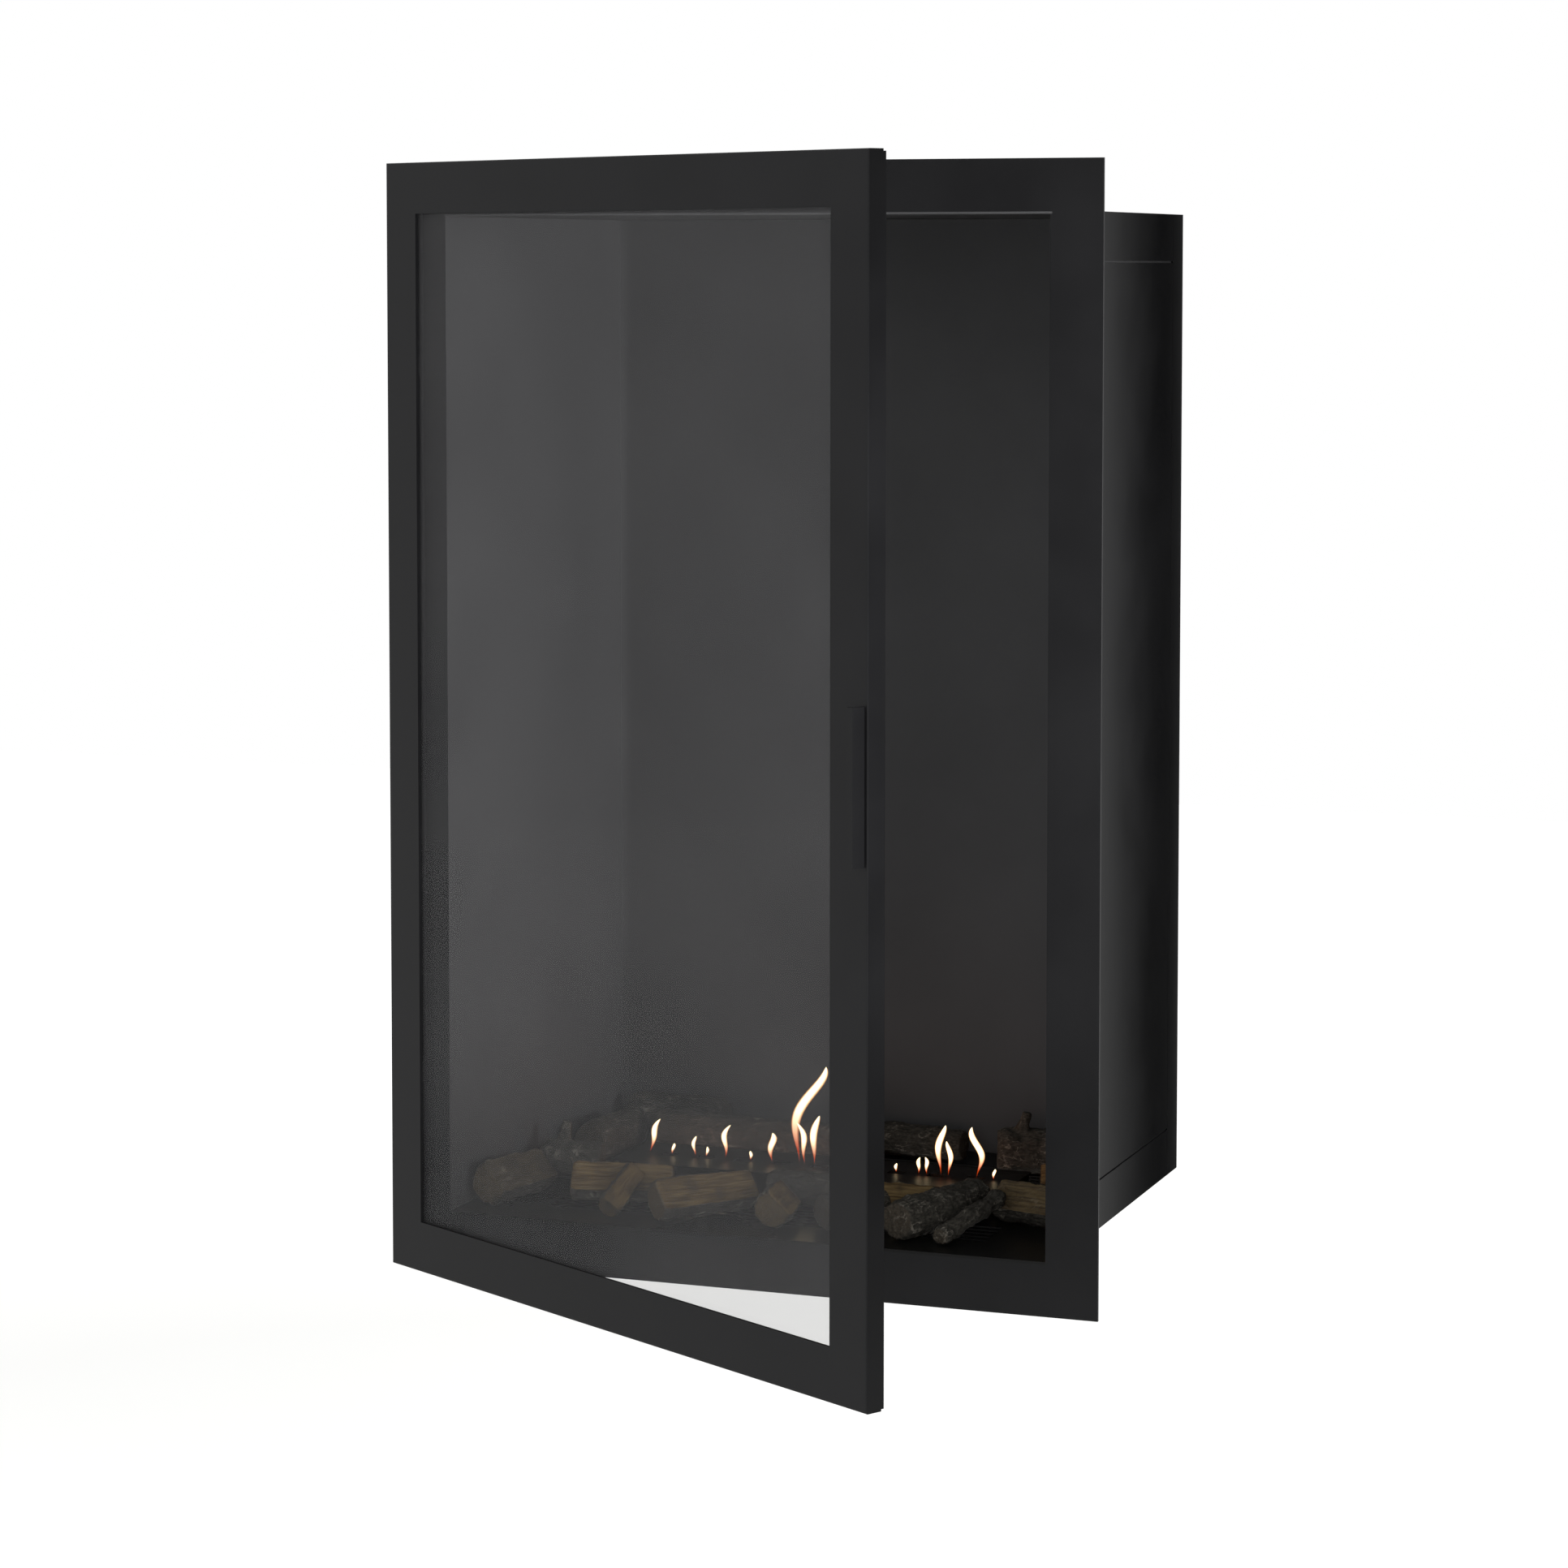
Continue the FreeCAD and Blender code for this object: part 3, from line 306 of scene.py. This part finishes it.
def fired_log(name, soot, ash, scorched, timber):
    """Ceramic fibre cast from firewood and painted: sooty bark with thin ash-grey wrinkles along the
    log, and split faces in scorched brown with straight grain. The grain is 1 mm in life, drawn wider
    to show."""
    material, tree, place = start_material(name)
    grain = add(tree, ATTRIBUTE, output="Vector", attribute_name="grain")
    fibre = add(tree, ATTRIBUTE, output="Vector", attribute_name="fibre")
    ridge = add(tree, ATTRIBUTE, output="Fac", attribute_name="ridge")
    split = add(tree, ATTRIBUTE, output="Fac", attribute_name="split_face")
    sawn = add(tree, ATTRIBUTE, output="Fac", attribute_name="sawn_end")
    fine = add(tree, NOISE, {
        "Vector": grain, "Scale": 1 / (WOOD_GRAIN * MM), "Detail": 4.0, "Roughness": 0.6,
    })
    lines = add(tree, NOISE, {
        "Vector": fibre, "Scale": 1 / (WOOD_GRAIN * MM), "Detail": 4.0, "Roughness": 0.6,
    })
    broad = add(tree, NOISE, {"Vector": place, "Scale": 1 / (CHAR_PATCH * MM), "Detail": 3.0})
    crest = add(tree, MAP_RANGE, {"Value": ridge, "From Min": 0.87, "From Max": 0.98})
    cover = add(tree, MAP_RANGE, {"Value": broad, "From Min": 0.38, "From Max": 0.62, "To Min": 0.12})
    speck = add(tree, MAP_RANGE, {"Value": fine, "From Min": 0.35, "From Max": 0.65, "To Max": 0.25})
    dusted = add(tree, MATH, {0: crest, 1: cover}, operation="MULTIPLY")
    dusted = add(tree, MATH, {0: dusted, 1: speck}, operation="MAXIMUM")
    bark = add(tree, MIX, {"Fac": dusted, "Color1": linear(soot), "Color2": linear(ash)})
    streak = add(tree, MAP_RANGE, {"Value": lines, "From Min": 0.36, "From Max": 0.64})
    wood = add(tree, MIX, {"Fac": streak, "Color1": linear(scorched), "Color2": linear(timber)})
    burnt = add(tree, MAP_RANGE, {"Value": broad, "From Min": 0.32, "From Max": 0.46, "To Min": 0.45})
    burnt = add(tree, MATH, {0: sawn, 1: -0.55, 2: burnt}, operation="MULTIPLY_ADD", use_clamp=True)
    wood = add(tree, MIX, {"Fac": burnt, "Color1": linear(soot), "Color2": wood})
    relief = add(tree, MIX, {"Fac": split, "Color1": fine, "Color2": lines})
    end_material(tree, {
        "Base Color": add(tree, MIX, {"Fac": split, "Color1": bark, "Color2": wood}),
        "Normal": add(tree, BUMP, {"Height": relief, "Distance": 0.5 * MM, "Strength": 0.6}),
        "Roughness": 0.9,
        "Specular IOR Level": 0.15,
    })
    return material


def ethanol_flame(name):
    """Ethanol flame: a white-yellow head with soft orange rims on a thin orange-red stem."""
    material, tree, _ = start_material(name)
    up = add(tree, ATTRIBUTE, output="Fac", attribute_name="up")
    rim = add(tree, ATTRIBUTE, output="Fac", attribute_name="rim")
    edge = add(tree, MAP_RANGE, {"Value": rim, "From Min": 0.55, "From Max": 1.0})
    body = add(tree, MIX, {"Fac": edge, "Color1": linear("fff3c4"), "Color2": linear("ff9226")})
    rise = add(tree, MAP_RANGE, {"Value": up, "From Min": 0.15, "From Max": 0.55})
    core = add(tree, MAP_RANGE, {"Value": rim, "From Min": 0.4, "To Min": 3.0, "To Max": 1.0})
    power = add(tree, MAP_RANGE, {"Value": rise, "To Min": 0.30})
    thin_foot = add(tree, MAP_RANGE, {"Value": up, "From Max": 0.20, "To Min": 0.15})
    thin_edge = add(tree, MAP_RANGE, {"Value": rim, "From Min": 0.65, "To Min": 0.9, "To Max": 0.10})
    end_material(tree, {
        "Emission Color": add(tree, MIX, {"Fac": rise, "Color1": linear("d8480e"), "Color2": body}),
        "Emission Strength": add(tree, MATH, {0: core, 1: power}, operation="MULTIPLY"),
        "Alpha": add(tree, MATH, {0: thin_foot, 1: thin_edge}, operation="MULTIPLY"),
        "Base Color": (0.0, 0.0, 0.0, 1.0),
        "Roughness": 1.0,
        "Specular IOR Level": 0.0,
    })
    return material


def make_finishes():
    """The finish for each material slot of the record."""
    return {
        "front_paint": powder_coat("satin_black_powder_coat", "0f0f10", "131314", 0.42, 0.11),
        "housing_paint": powder_coat("matt_black_powder_coat", "0a0a0b", "0e0e0f", 0.32, 0.07),
        "liner_paint": heat_paint("matt_black_heat_paint", "333334", "3b3b3c", 0.62, 0.15),
        "insulation_board": mineral_fibre("pressed_mineral_board", "9a9486", "b9b2a2", 3.0, 0.3),
        "hinge_steel": powder_coat("black_coated_hinge_steel", "101012", "161618", 0.42, 0.16),
        "washer_brass": drawn_metal("turned_brass", "8a6a2f", "b48d45", 0.34, 0.5),
        "door_pane": toned_glass("toned_ceramic_glass"),
        "glass_fibre_tape": mineral_fibre("woven_black_tape", "101010", "1e1e1e", 1.2, 0.2),
        "clip_steel": powder_coat("black_coated_clip_steel", "121213", "19191a", 0.42, 0.2),
        "fibre_seal": mineral_fibre("braided_black_fibre", "0e0e0f", "262627", 1.6, 0.5),
        "magnet_steel": powder_coat("black_coated_magnet", "141415", "1b1b1c", 0.35, 0.4),
        "burner_steel": drawn_metal("heat_toned_brushed_steel", "221f1d", "393532", 0.44, 0.6),
        "knob_black": powder_coat("satin_black_knob", "121213", "19191a", 0.38, 0.4),
        "wick_fibre": mineral_fibre("white_ceramic_fibre", "c9c5bb", "efece4", 2.0, 0.4),
        "log_bark": fired_log("charred_bark_ceramic", "1d1c19", "5e5a53", "231c15", "3d3124"),
        "log_split": fired_log("split_face_ceramic", "1d1c19", "5e5a53", "372b1b", "5e4f35"),
    }


def dress_solids(finishes):
    """Give every solid the finish of its slot. The hearth's own paint is glossier, worn smooth by
    sweeping, and the front edges of the side linings are sprayed together with the flange."""
    hearth = heat_paint("satin_black_hearth_paint", "060606", "0a0a0a", 0.28, 0.12)
    front_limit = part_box("front_flange")[1].y + LINING_EDGE * MM
    for name, item in frame["nodes"].items():
        finish = hearth if name == "hearth_plate" else finishes[SLOT_OF[name]]
        if not item.material_slots:
            item.data.materials.append(finish)
        for slot in item.material_slots:
            slot.material = finish
        if name in ("liner_left", "liner_right"):
            item.data.materials.append(finishes["front_paint"])
            for face in item.data.polygons:
                if face.normal.y < FORWARD and face.center.y < front_limit:
                    face.material_index = len(item.data.materials) - 1


def new_shape_tree(name, inputs):
    """An empty geometry tree with named inputs, and its group input's sockets."""
    tree = bpy.data.node_groups.new(name, "GeometryNodeTree")
    for label, kind in inputs.items():
        tree.interface.new_socket(label, in_out="INPUT", socket_type=f"NodeSocket{kind}")
    tree.interface.new_socket("Geometry", in_out="OUTPUT", socket_type="NodeSocketGeometry")
    return tree, add(tree, "NodeGroupInput").node.outputs


def bark_relief_tree():
    """Raises bark on a log: ridges drawn out along its axis, broad lumps under them, and smoother split
    faces. Marks the ridges, the split faces and the coordinates of bark grain and wood fibre, which the
    paint follows."""
    tree, given = new_shape_tree("bark_relief", {
        "Geometry": "Geometry", "Axis": "Vector", "Ridge Height": "Float", "Ridge Spacing": "Float",
        "Lump Height": "Float", "Lump Spacing": "Float", "Bark Stretch": "Float",
        "Fibre Stretch": "Float", "Lump Stretch": "Float", "Split": "Float", "Split Side": "Vector",
        "Floor": "Vector", "Seed": "Float", "Material": "Material",
    })
    place = add(tree, POSITION)
    normal = add(tree, "GeometryNodeInputNormal")
    along = add(tree, VECTOR_MATH, {0: place, 1: given["Axis"]}, "Value", operation="DOT_PRODUCT")
    drawn_out = []
    for stretch in ("Bark Stretch", "Fibre Stretch", "Lump Stretch"):
        squeeze = add(tree, MATH, {0: given[stretch], 1: 1.0}, operation="SUBTRACT")
        squeeze = add(tree, MATH, {0: squeeze, 1: along}, operation="MULTIPLY")
        squeeze = add(tree, VECTOR_MATH, {0: given["Axis"], "Scale": squeeze}, operation="SCALE")
        drawn_out.append(add(tree, VECTOR_MATH, {0: place, 1: squeeze}, operation="ADD"))
    grain, fibre, folds = drawn_out

    ridge_scale = add(tree, MATH, {0: 1.0, 1: given["Ridge Spacing"]}, operation="DIVIDE")
    ridges = add(tree, NOISE, {
        "Vector": grain, "W": given["Seed"], "Scale": ridge_scale, "Detail": 4.0, "Roughness": 0.55,
        "Distortion": 0.5,
    }, noise_dimensions="4D")
    fold = add(tree, MATH, {0: ridges, 1: FOLD_GAIN, 2: -FOLD_GAIN / 2}, operation="MULTIPLY_ADD")
    fold = add(tree, MATH, {0: fold}, operation="ABSOLUTE")
    crest = add(tree, MATH, {0: 1.0, 1: fold}, operation="SUBTRACT")
    lump_scale = add(tree, MATH, {0: 1.0, 1: given["Lump Spacing"]}, operation="DIVIDE")
    lumps = add(tree, NOISE, {
        "Vector": folds, "W": given["Seed"], "Scale": lump_scale, "Detail": 2.0,
    }, noise_dimensions="4D")

    side = given["Split Side"]
    facing = add(tree, VECTOR_MATH, {0: normal, 1: side}, "Value", operation="DOT_PRODUCT")
    face = add(tree, MAP_RANGE, {
        "Value": facing, "From Min": SPLIT_FACING[0], "From Max": SPLIT_FACING[1],
    })
    face = add(tree, MATH, {0: face, 1: given["Split"]}, operation="MULTIPLY")
    endways = add(tree, VECTOR_MATH, {0: normal, 1: given["Axis"]}, "Value", operation="DOT_PRODUCT")
    endways = add(tree, MATH, {0: endways}, operation="ABSOLUTE")
    fresh = add(tree, MAP_RANGE, {"Value": given["Split"], "To Min": SAWN_ON_BARK})
    sawn = add(tree, MAP_RANGE, {
        "Value": endways, "From Min": SAWN_FACING[0], "From Max": SAWN_FACING[1], "To Max": fresh,
    })
    face = add(tree, MATH, {0: face, 1: sawn}, operation="MAXIMUM")

    ridge_rise = add(tree, MATH, {0: crest, 1: RIDGE_DATUM}, operation="SUBTRACT")
    ridge_rise = add(tree, MATH, {0: ridge_rise, 1: given["Ridge Height"]}, operation="MULTIPLY")
    lump_rise = add(tree, MATH, {0: lumps, 1: LUMP_DATUM}, operation="SUBTRACT")
    rise = add(tree, MATH, {0: lump_rise, 1: given["Lump Height"], 2: ridge_rise},
               operation="MULTIPLY_ADD")
    depth = add(tree, MAP_RANGE, {"Value": face, "To Min": 1.0, "To Max": WOOD_RELIEF})
    rise = add(tree, MATH, {0: rise, 1: depth}, operation="MULTIPLY")

    shape = given["Geometry"]
    stored = {"ridge": crest, "split_face": face, "sawn_end": sawn, "grain": grain, "fibre": fibre}
    for name, value in stored.items():
        kind = "FLOAT_VECTOR" if name in ("grain", "fibre") else "FLOAT"
        shape = add(tree, STORE, {"Geometry": shape, "Name": name, "Value": value},
                    data_type=kind, domain="POINT")
    raised = add(tree, VECTOR_MATH, {0: normal, "Scale": rise}, operation="SCALE")
    shape = add(tree, SET_POSITION, {"Geometry": shape, "Offset": raised})
    seated = add(tree, VECTOR_MATH, {0: add(tree, POSITION), 1: given["Floor"]}, operation="MAXIMUM")
    shape = add(tree, SET_POSITION, {"Geometry": shape, "Position": seated})
    shape = add(tree, "GeometryNodeSetShadeSmooth", {"Geometry": shape})
    shape = add(tree, REALIZE, {"Geometry": shape})
    shape = add(tree, "GeometryNodeSetMaterial", {"Geometry": shape, "Material": given["Material"]})
    add(tree, "NodeGroupOutput", {"Geometry": shape})
    return tree


def flame_tongue_tree():
    """Sets a flattened, swaying tongue on every point; its sizes are the point's own attributes."""
    tree, given = new_shape_tree("flame_tongue", {
        "Geometry": "Geometry", "Rows": "Int", "Columns": "Int", "Flatness": "Float",
        "Material": "Material",
    })
    sheet = add(tree, "GeometryNodeMeshGrid", {
        "Size X": 1.0, "Size Y": 1.0, "Vertices X": given["Columns"], "Vertices Y": given["Rows"],
    })
    corner = add(tree, VECTOR_MATH, {0: add(tree, POSITION), 1: (0.5, 0.5, 0.0)}, operation="ADD")
    parted = add(tree, "ShaderNodeSeparateXYZ", {0: corner}).node.outputs
    for name, value in (("around", parted["X"]), ("up", parted["Y"])):
        sheet = add(tree, STORE, {"Geometry": sheet, "Name": name, "Value": value},
                    data_type="FLOAT", domain="POINT")
    feet = add(tree, STORE, {
        "Geometry": given["Geometry"], "Name": "foot", "Value": add(tree, POSITION),
    }, data_type="FLOAT_VECTOR", domain="POINT")
    shape = add(tree, "GeometryNodeInstanceOnPoints", {"Points": feet, "Instance": sheet})
    shape = add(tree, REALIZE, {"Geometry": shape})

    marks = {
        name: add(tree, "GeometryNodeInputNamedAttribute", {"Name": name}, data_type="FLOAT")
        for name in ("around", "up", "tall", "wide", "lean", "curl", "turn")
    }
    foot = add(tree, "GeometryNodeInputNamedAttribute", {"Name": "foot"}, data_type="FLOAT_VECTOR")
    up = marks["up"]
    swell = add(tree, MATH, {0: up, 1: FLAME_SWELL}, operation="POWER")
    taper = add(tree, MATH, {0: 1.0, 1: up}, operation="SUBTRACT")
    taper = add(tree, MATH, {0: taper, 1: FLAME_TAPER}, operation="POWER")
    girth = add(tree, MATH, {0: swell, 1: taper}, operation="MULTIPLY")
    girth = add(tree, MATH, {0: girth, 1: FLAME_PEAK}, operation="MULTIPLY")
    girth = add(tree, MATH, {0: girth, 1: marks["wide"]}, operation="MULTIPLY")
    angle = add(tree, MATH, {0: marks["around"], 1: 2 * math.pi}, operation="MULTIPLY")
    cosine = add(tree, MATH, {0: angle}, operation="COSINE")
    sine = add(tree, MATH, {0: angle}, operation="SINE")
    across = add(tree, MATH, {0: cosine, 1: girth}, operation="MULTIPLY")
    deep = add(tree, MATH, {0: sine, 1: girth}, operation="MULTIPLY")
    deep = add(tree, MATH, {0: deep, 1: given["Flatness"]}, operation="MULTIPLY")

    wave = add(tree, MATH, {0: up, 1: FLAME_TURNS, 2: marks["turn"]}, operation="MULTIPLY_ADD")
    wave = add(tree, MATH, {0: wave, 1: 2 * math.pi}, operation="MULTIPLY")
    reach = add(tree, MATH, {0: marks["curl"], 1: up}, operation="MULTIPLY")
    sway = add(tree, MATH, {0: wave}, operation="SINE")
    sway = add(tree, MATH, {0: sway, 1: reach}, operation="MULTIPLY")
    toss = add(tree, MATH, {0: wave}, operation="COSINE")
    toss = add(tree, MATH, {0: toss, 1: reach}, operation="MULTIPLY")
    bend = add(tree, MATH, {0: up, 1: FLAME_BEND}, operation="POWER")
    sway = add(tree, MATH, {0: bend, 1: marks["lean"], 2: sway}, operation="MULTIPLY_ADD")
    spot = add(tree, "ShaderNodeCombineXYZ", {
        "X": add(tree, MATH, {0: across, 1: sway}, operation="ADD"),
        "Y": add(tree, MATH, {0: toss, 1: FLAME_TOSS, 2: deep}, operation="MULTIPLY_ADD"),
        "Z": add(tree, MATH, {0: up, 1: marks["tall"]}, operation="MULTIPLY"),
    })
    spot = add(tree, VECTOR_MATH, {0: foot, 1: spot}, operation="ADD")
    rim = add(tree, MATH, {0: cosine}, operation="ABSOLUTE")
    shape = add(tree, STORE, {"Geometry": shape, "Name": "rim", "Value": rim},
                data_type="FLOAT", domain="POINT")
    shape = add(tree, SET_POSITION, {"Geometry": shape, "Position": spot})
    shape = add(tree, "GeometryNodeMergeByDistance", {"Geometry": shape, "Distance": 0.02 * MM})
    shape = add(tree, "GeometryNodeSetShadeSmooth", {"Geometry": shape})
    shape = add(tree, "GeometryNodeSetMaterial", {"Geometry": shape, "Material": given["Material"]})
    add(tree, "NodeGroupOutput", {"Geometry": shape})
    return tree


def set_inputs(modifier, values):
    """Set a node modifier's inputs by the identifiers of their sockets."""
    for item in modifier.node_group.interface.items_tree:
        if item.in_out == "INPUT" and item.name in values:
            modifier[item.identifier] = values[item.name]


def settle(item):
    """Turn an object's worked-out modifiers into its plain mesh."""
    bpy.context.view_layer.update()
    shaped = item.evaluated_get(bpy.context.evaluated_depsgraph_get())
    mesh = bpy.data.meshes.new_from_object(shaped)
    item.modifiers.clear()
    item.data = mesh
    return item


def new_object(name, mesh):
    """A new object in the scene, at the origin."""
    item = bpy.data.objects.new(name, mesh)
    bpy.context.scene.collection.objects.link(item)
    return item


def merged_copy(node):
    """A copy of a solid's mesh with its loose triangles joined."""
    mesh = frame["nodes"][node].data.copy()
    shape = bmesh.new()
    shape.from_mesh(mesh)
    bmesh.ops.remove_doubles(shape, verts=shape.verts, dist=0.001 * MM)
    shape.to_mesh(mesh)
    shape.free()
    return mesh


def broadest_side(mesh):
    """Where the broadest flat face of a log looks to."""
    areas = {}
    for face in mesh.polygons:
        side = tuple(round(c, 1) for c in face.normal)
        areas[side] = areas.get(side, 0.0) + face.area
    return Vector(max(areas, key=areas.get)).normalized()


def build_logs(finishes):
    """Firewood in the place of each log solid: an even skin, rounded a little, then bark relief."""
    tree = bark_relief_tree()
    hearth_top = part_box("hearth_plate")[1].z
    for seed, node in enumerate(sorted(n for n in frame["nodes"] if n.startswith("log_"))):
        log = new_object(f"{node}_fired", merged_copy(node))
        corners = np.array([v.co for v in log.data.vertices])
        axis = np.linalg.svd(corners - corners.mean(axis=0), full_matrices=False)[2][0]
        skin = log.modifiers.new("even_skin", "REMESH")
        skin.mode = "VOXEL"
        skin.voxel_size = LOG_VOXEL * MM
        rounding = log.modifiers.new("rounding", "SMOOTH")
        split = SLOT_OF[node] == "log_split"
        rounding.iterations = SPLIT_ROUNDING if split else BARK_ROUNDING
        bark = log.modifiers.new("bark", "NODES")
        bark.node_group = tree
        set_inputs(bark, {
            "Axis": [float(c) for c in axis],
            "Ridge Height": BARK_RIDGE * MM, "Ridge Spacing": RIDGE_SPACING * MM,
            "Lump Height": LUMP * MM, "Lump Spacing": LUMP_SPACING * MM, "Lump Stretch": LUMP_STRETCH,
            "Bark Stretch": BARK_STRETCH, "Fibre Stretch": FIBRE_STRETCH,
            # A share under 1 darkens the split faces: painted shade on log_left_front, soot on
            # log_right_split
            "Split": SOOT_AND_SHADE_ON_SPLITS.get(node, 1.0) if split else 0.0,
            "Split Side": list(broadest_side(log.data)),
            "Floor": [-1.0, -1.0, hearth_top],
            "Seed": float(seed),
            "Material": finishes[SLOT_OF[node]],
        })
        settle(log)
        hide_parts(node)
        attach(log, "firebox")


def build_flames():
    """All flames as one glowing mesh on the burner's top."""
    low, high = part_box("burner_top")
    middle = (low.y + high.y) / 2
    feet = bpy.data.meshes.new("flame_feet")
    feet.from_pydata([(row[0] * MM, middle, high.z) for row in FLAMES], [], [])
    for column, name in enumerate(("tall", "wide", "lean", "curl", "turn"), start=1):
        unit = 1.0 if name == "turn" else MM
        values = [row[column] * unit for row in FLAMES]
        feet.attributes.new(name, "FLOAT", "POINT").data.foreach_set("value", values)
    flames = new_object("burner_flames", feet)
    tongues = flames.modifiers.new("tongues", "NODES")
    tongues.node_group = flame_tongue_tree()
    set_inputs(tongues, {
        "Rows": FLAME_ROWS, "Columns": FLAME_COLUMNS, "Flatness": FLAME_FLATNESS,
        "Material": ethanol_flame("ethanol_flame"),
    })
    settle(flames)
    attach(flames, "firebox")


def add_lamp(name, kind, watts, place, target=None, colour="ffffff", **settings):
    """A lamp that lights the scene and is not seen itself."""
    light = bpy.data.lights.new(name, kind)
    light.energy = watts
    light.color = linear(colour)[:3]
    for key, value in settings.items():
        setattr(light, key, value)
    lamp = new_object(name, light)
    lamp.location = place
    if target:
        lamp.rotation_euler = (Vector(target) - Vector(place)).to_track_quat("-Z", "Y").to_euler()
    lamp.visible_camera = False
    lamp.visible_glossy = False


def seen_directly(tree):
    """1 for rays that the eye follows: straight, mirrored or through glass."""
    path = add(tree, "ShaderNodeLightPath").node.outputs
    seen = add(tree, MATH, {0: path["Is Camera Ray"], 1: path["Is Glossy Ray"]}, operation="MAXIMUM")
    return add(tree, MATH, {0: seen, 1: path["Is Transmission Ray"]}, operation="MAXIMUM")


def build_stage():
    """White room, pale floor and soft studio lamps."""
    scene = bpy.context.scene
    scene.view_settings.view_transform = "Standard"
    world = bpy.data.worlds.new("white_room")
    scene.world = world
    world.use_nodes = True
    tree = world.node_tree
    tree.nodes.clear()
    strength = add(tree, MAP_RANGE, {"Value": seen_directly(tree), "To Min": AMBIENT, "To Max": 1.0})
    room = add(tree, "ShaderNodeBackground", {"Color": (1.0, 1.0, 1.0, 1.0), "Strength": strength})
    add(tree, "ShaderNodeOutputWorld", {"Surface": room})

    material, tree, place = start_material("pale_studio_floor")
    away = add(tree, VECTOR_MATH, {0: place}, "Value", operation="LENGTH")
    help_here = add(tree, MAP_RANGE, {
        "Value": away, "From Min": FLOOR_HELP_REACH[0], "From Max": FLOOR_HELP_REACH[1],
        "To Min": FLOOR_HELP[0], "To Max": FLOOR_HELP[1],
    })
    end_material(tree, {
        "Base Color": linear(FLOOR_WHITE), "Roughness": 0.9, "Specular IOR Level": 0.0,
        "Emission Color": (1.0, 1.0, 1.0, 1.0),
        "Emission Strength": add(tree, MATH, {
            0: seen_directly(tree), 1: help_here,
        }, operation="MULTIPLY"),
    })
    half = FLOOR_SIZE / 2
    mesh = bpy.data.meshes.new("floor")
    corners = ((-half, -half), (half, -half), (half, half), (-half, half))
    mesh.from_pydata([(x, y, FLOOR_LEVEL) for x, y in corners], [], [(0, 1, 2, 3)])
    mesh.materials.append(material)
    new_object("floor", mesh)

    material, tree, _ = start_material("black_flag_cloth")
    end_material(tree, {"Base Color": (0.0, 0.0, 0.0, 1.0), "Roughness": 1.0, "Specular IOR Level": 0.0})
    for name, (start, end) in FLAGS.items():
        mesh = bpy.data.meshes.new(name)
        mesh.from_pydata([(*start, FLAG_FOOT), (*end, FLAG_FOOT), (*end, FLAG_TOP), (*start, FLAG_TOP)],
                         [], [(0, 1, 2, 3)])
        mesh.materials.append(material)
        flag = new_object(name, mesh)
        for ray in ("camera", "diffuse", "transmission", "shadow"):
            setattr(flag, f"visible_{ray}", False)

    for name, (watts, place, aim, width) in SOFTBOXES.items():
        add_lamp(name, "AREA", watts, place, aim, size=width)
    add_lamp("wall_spot", "SPOT", SPOT_WATTS, SPOT_PLACE, SPOT_AIM, spot_size=math.radians(SPOT_CONE),
             spot_blend=SPOT_BLEND, shadow_soft_size=SPOT_SIZE)
    for name, (x, watts) in GLOWS.items():
        add_lamp(name, "POINT", watts, (x, GLOW_ROW, GLOW_HEIGHT), colour=GLOW_COLOUR,
                 shadow_soft_size=GLOW_SIZE)


def build_camera():
    """The camera that took the photograph, with its lens shift."""
    camera = bpy.data.cameras.new("photo_camera")
    camera.sensor_width = SENSOR_WIDTH
    camera.lens = FOCAL_PIXELS / FRAME_PIXELS * SENSOR_WIDTH
    camera.shift_x, camera.shift_y = CAMERA_SHIFT
    item = new_object("photo_camera", camera)
    item.location = CAMERA_PLACE
    item.rotation_euler = (math.radians(90.0 - CAMERA_PITCH), 0.0, math.radians(CAMERA_AZIMUTH))
    bpy.context.scene.camera = item


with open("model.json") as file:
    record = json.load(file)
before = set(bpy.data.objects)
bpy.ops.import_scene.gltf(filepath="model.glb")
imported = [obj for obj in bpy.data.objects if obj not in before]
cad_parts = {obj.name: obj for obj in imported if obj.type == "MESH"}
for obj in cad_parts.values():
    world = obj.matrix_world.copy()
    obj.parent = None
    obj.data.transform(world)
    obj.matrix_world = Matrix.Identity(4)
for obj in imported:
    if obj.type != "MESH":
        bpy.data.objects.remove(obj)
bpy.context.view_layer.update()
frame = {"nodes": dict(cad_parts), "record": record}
SLOT_OF = {row["node"]: row["material_slot"] for row in frame["record"]["subparts"]}
finishes = make_finishes()
dress_solids(finishes)
build_logs(finishes)
build_flames()
build_stage()
build_camera()
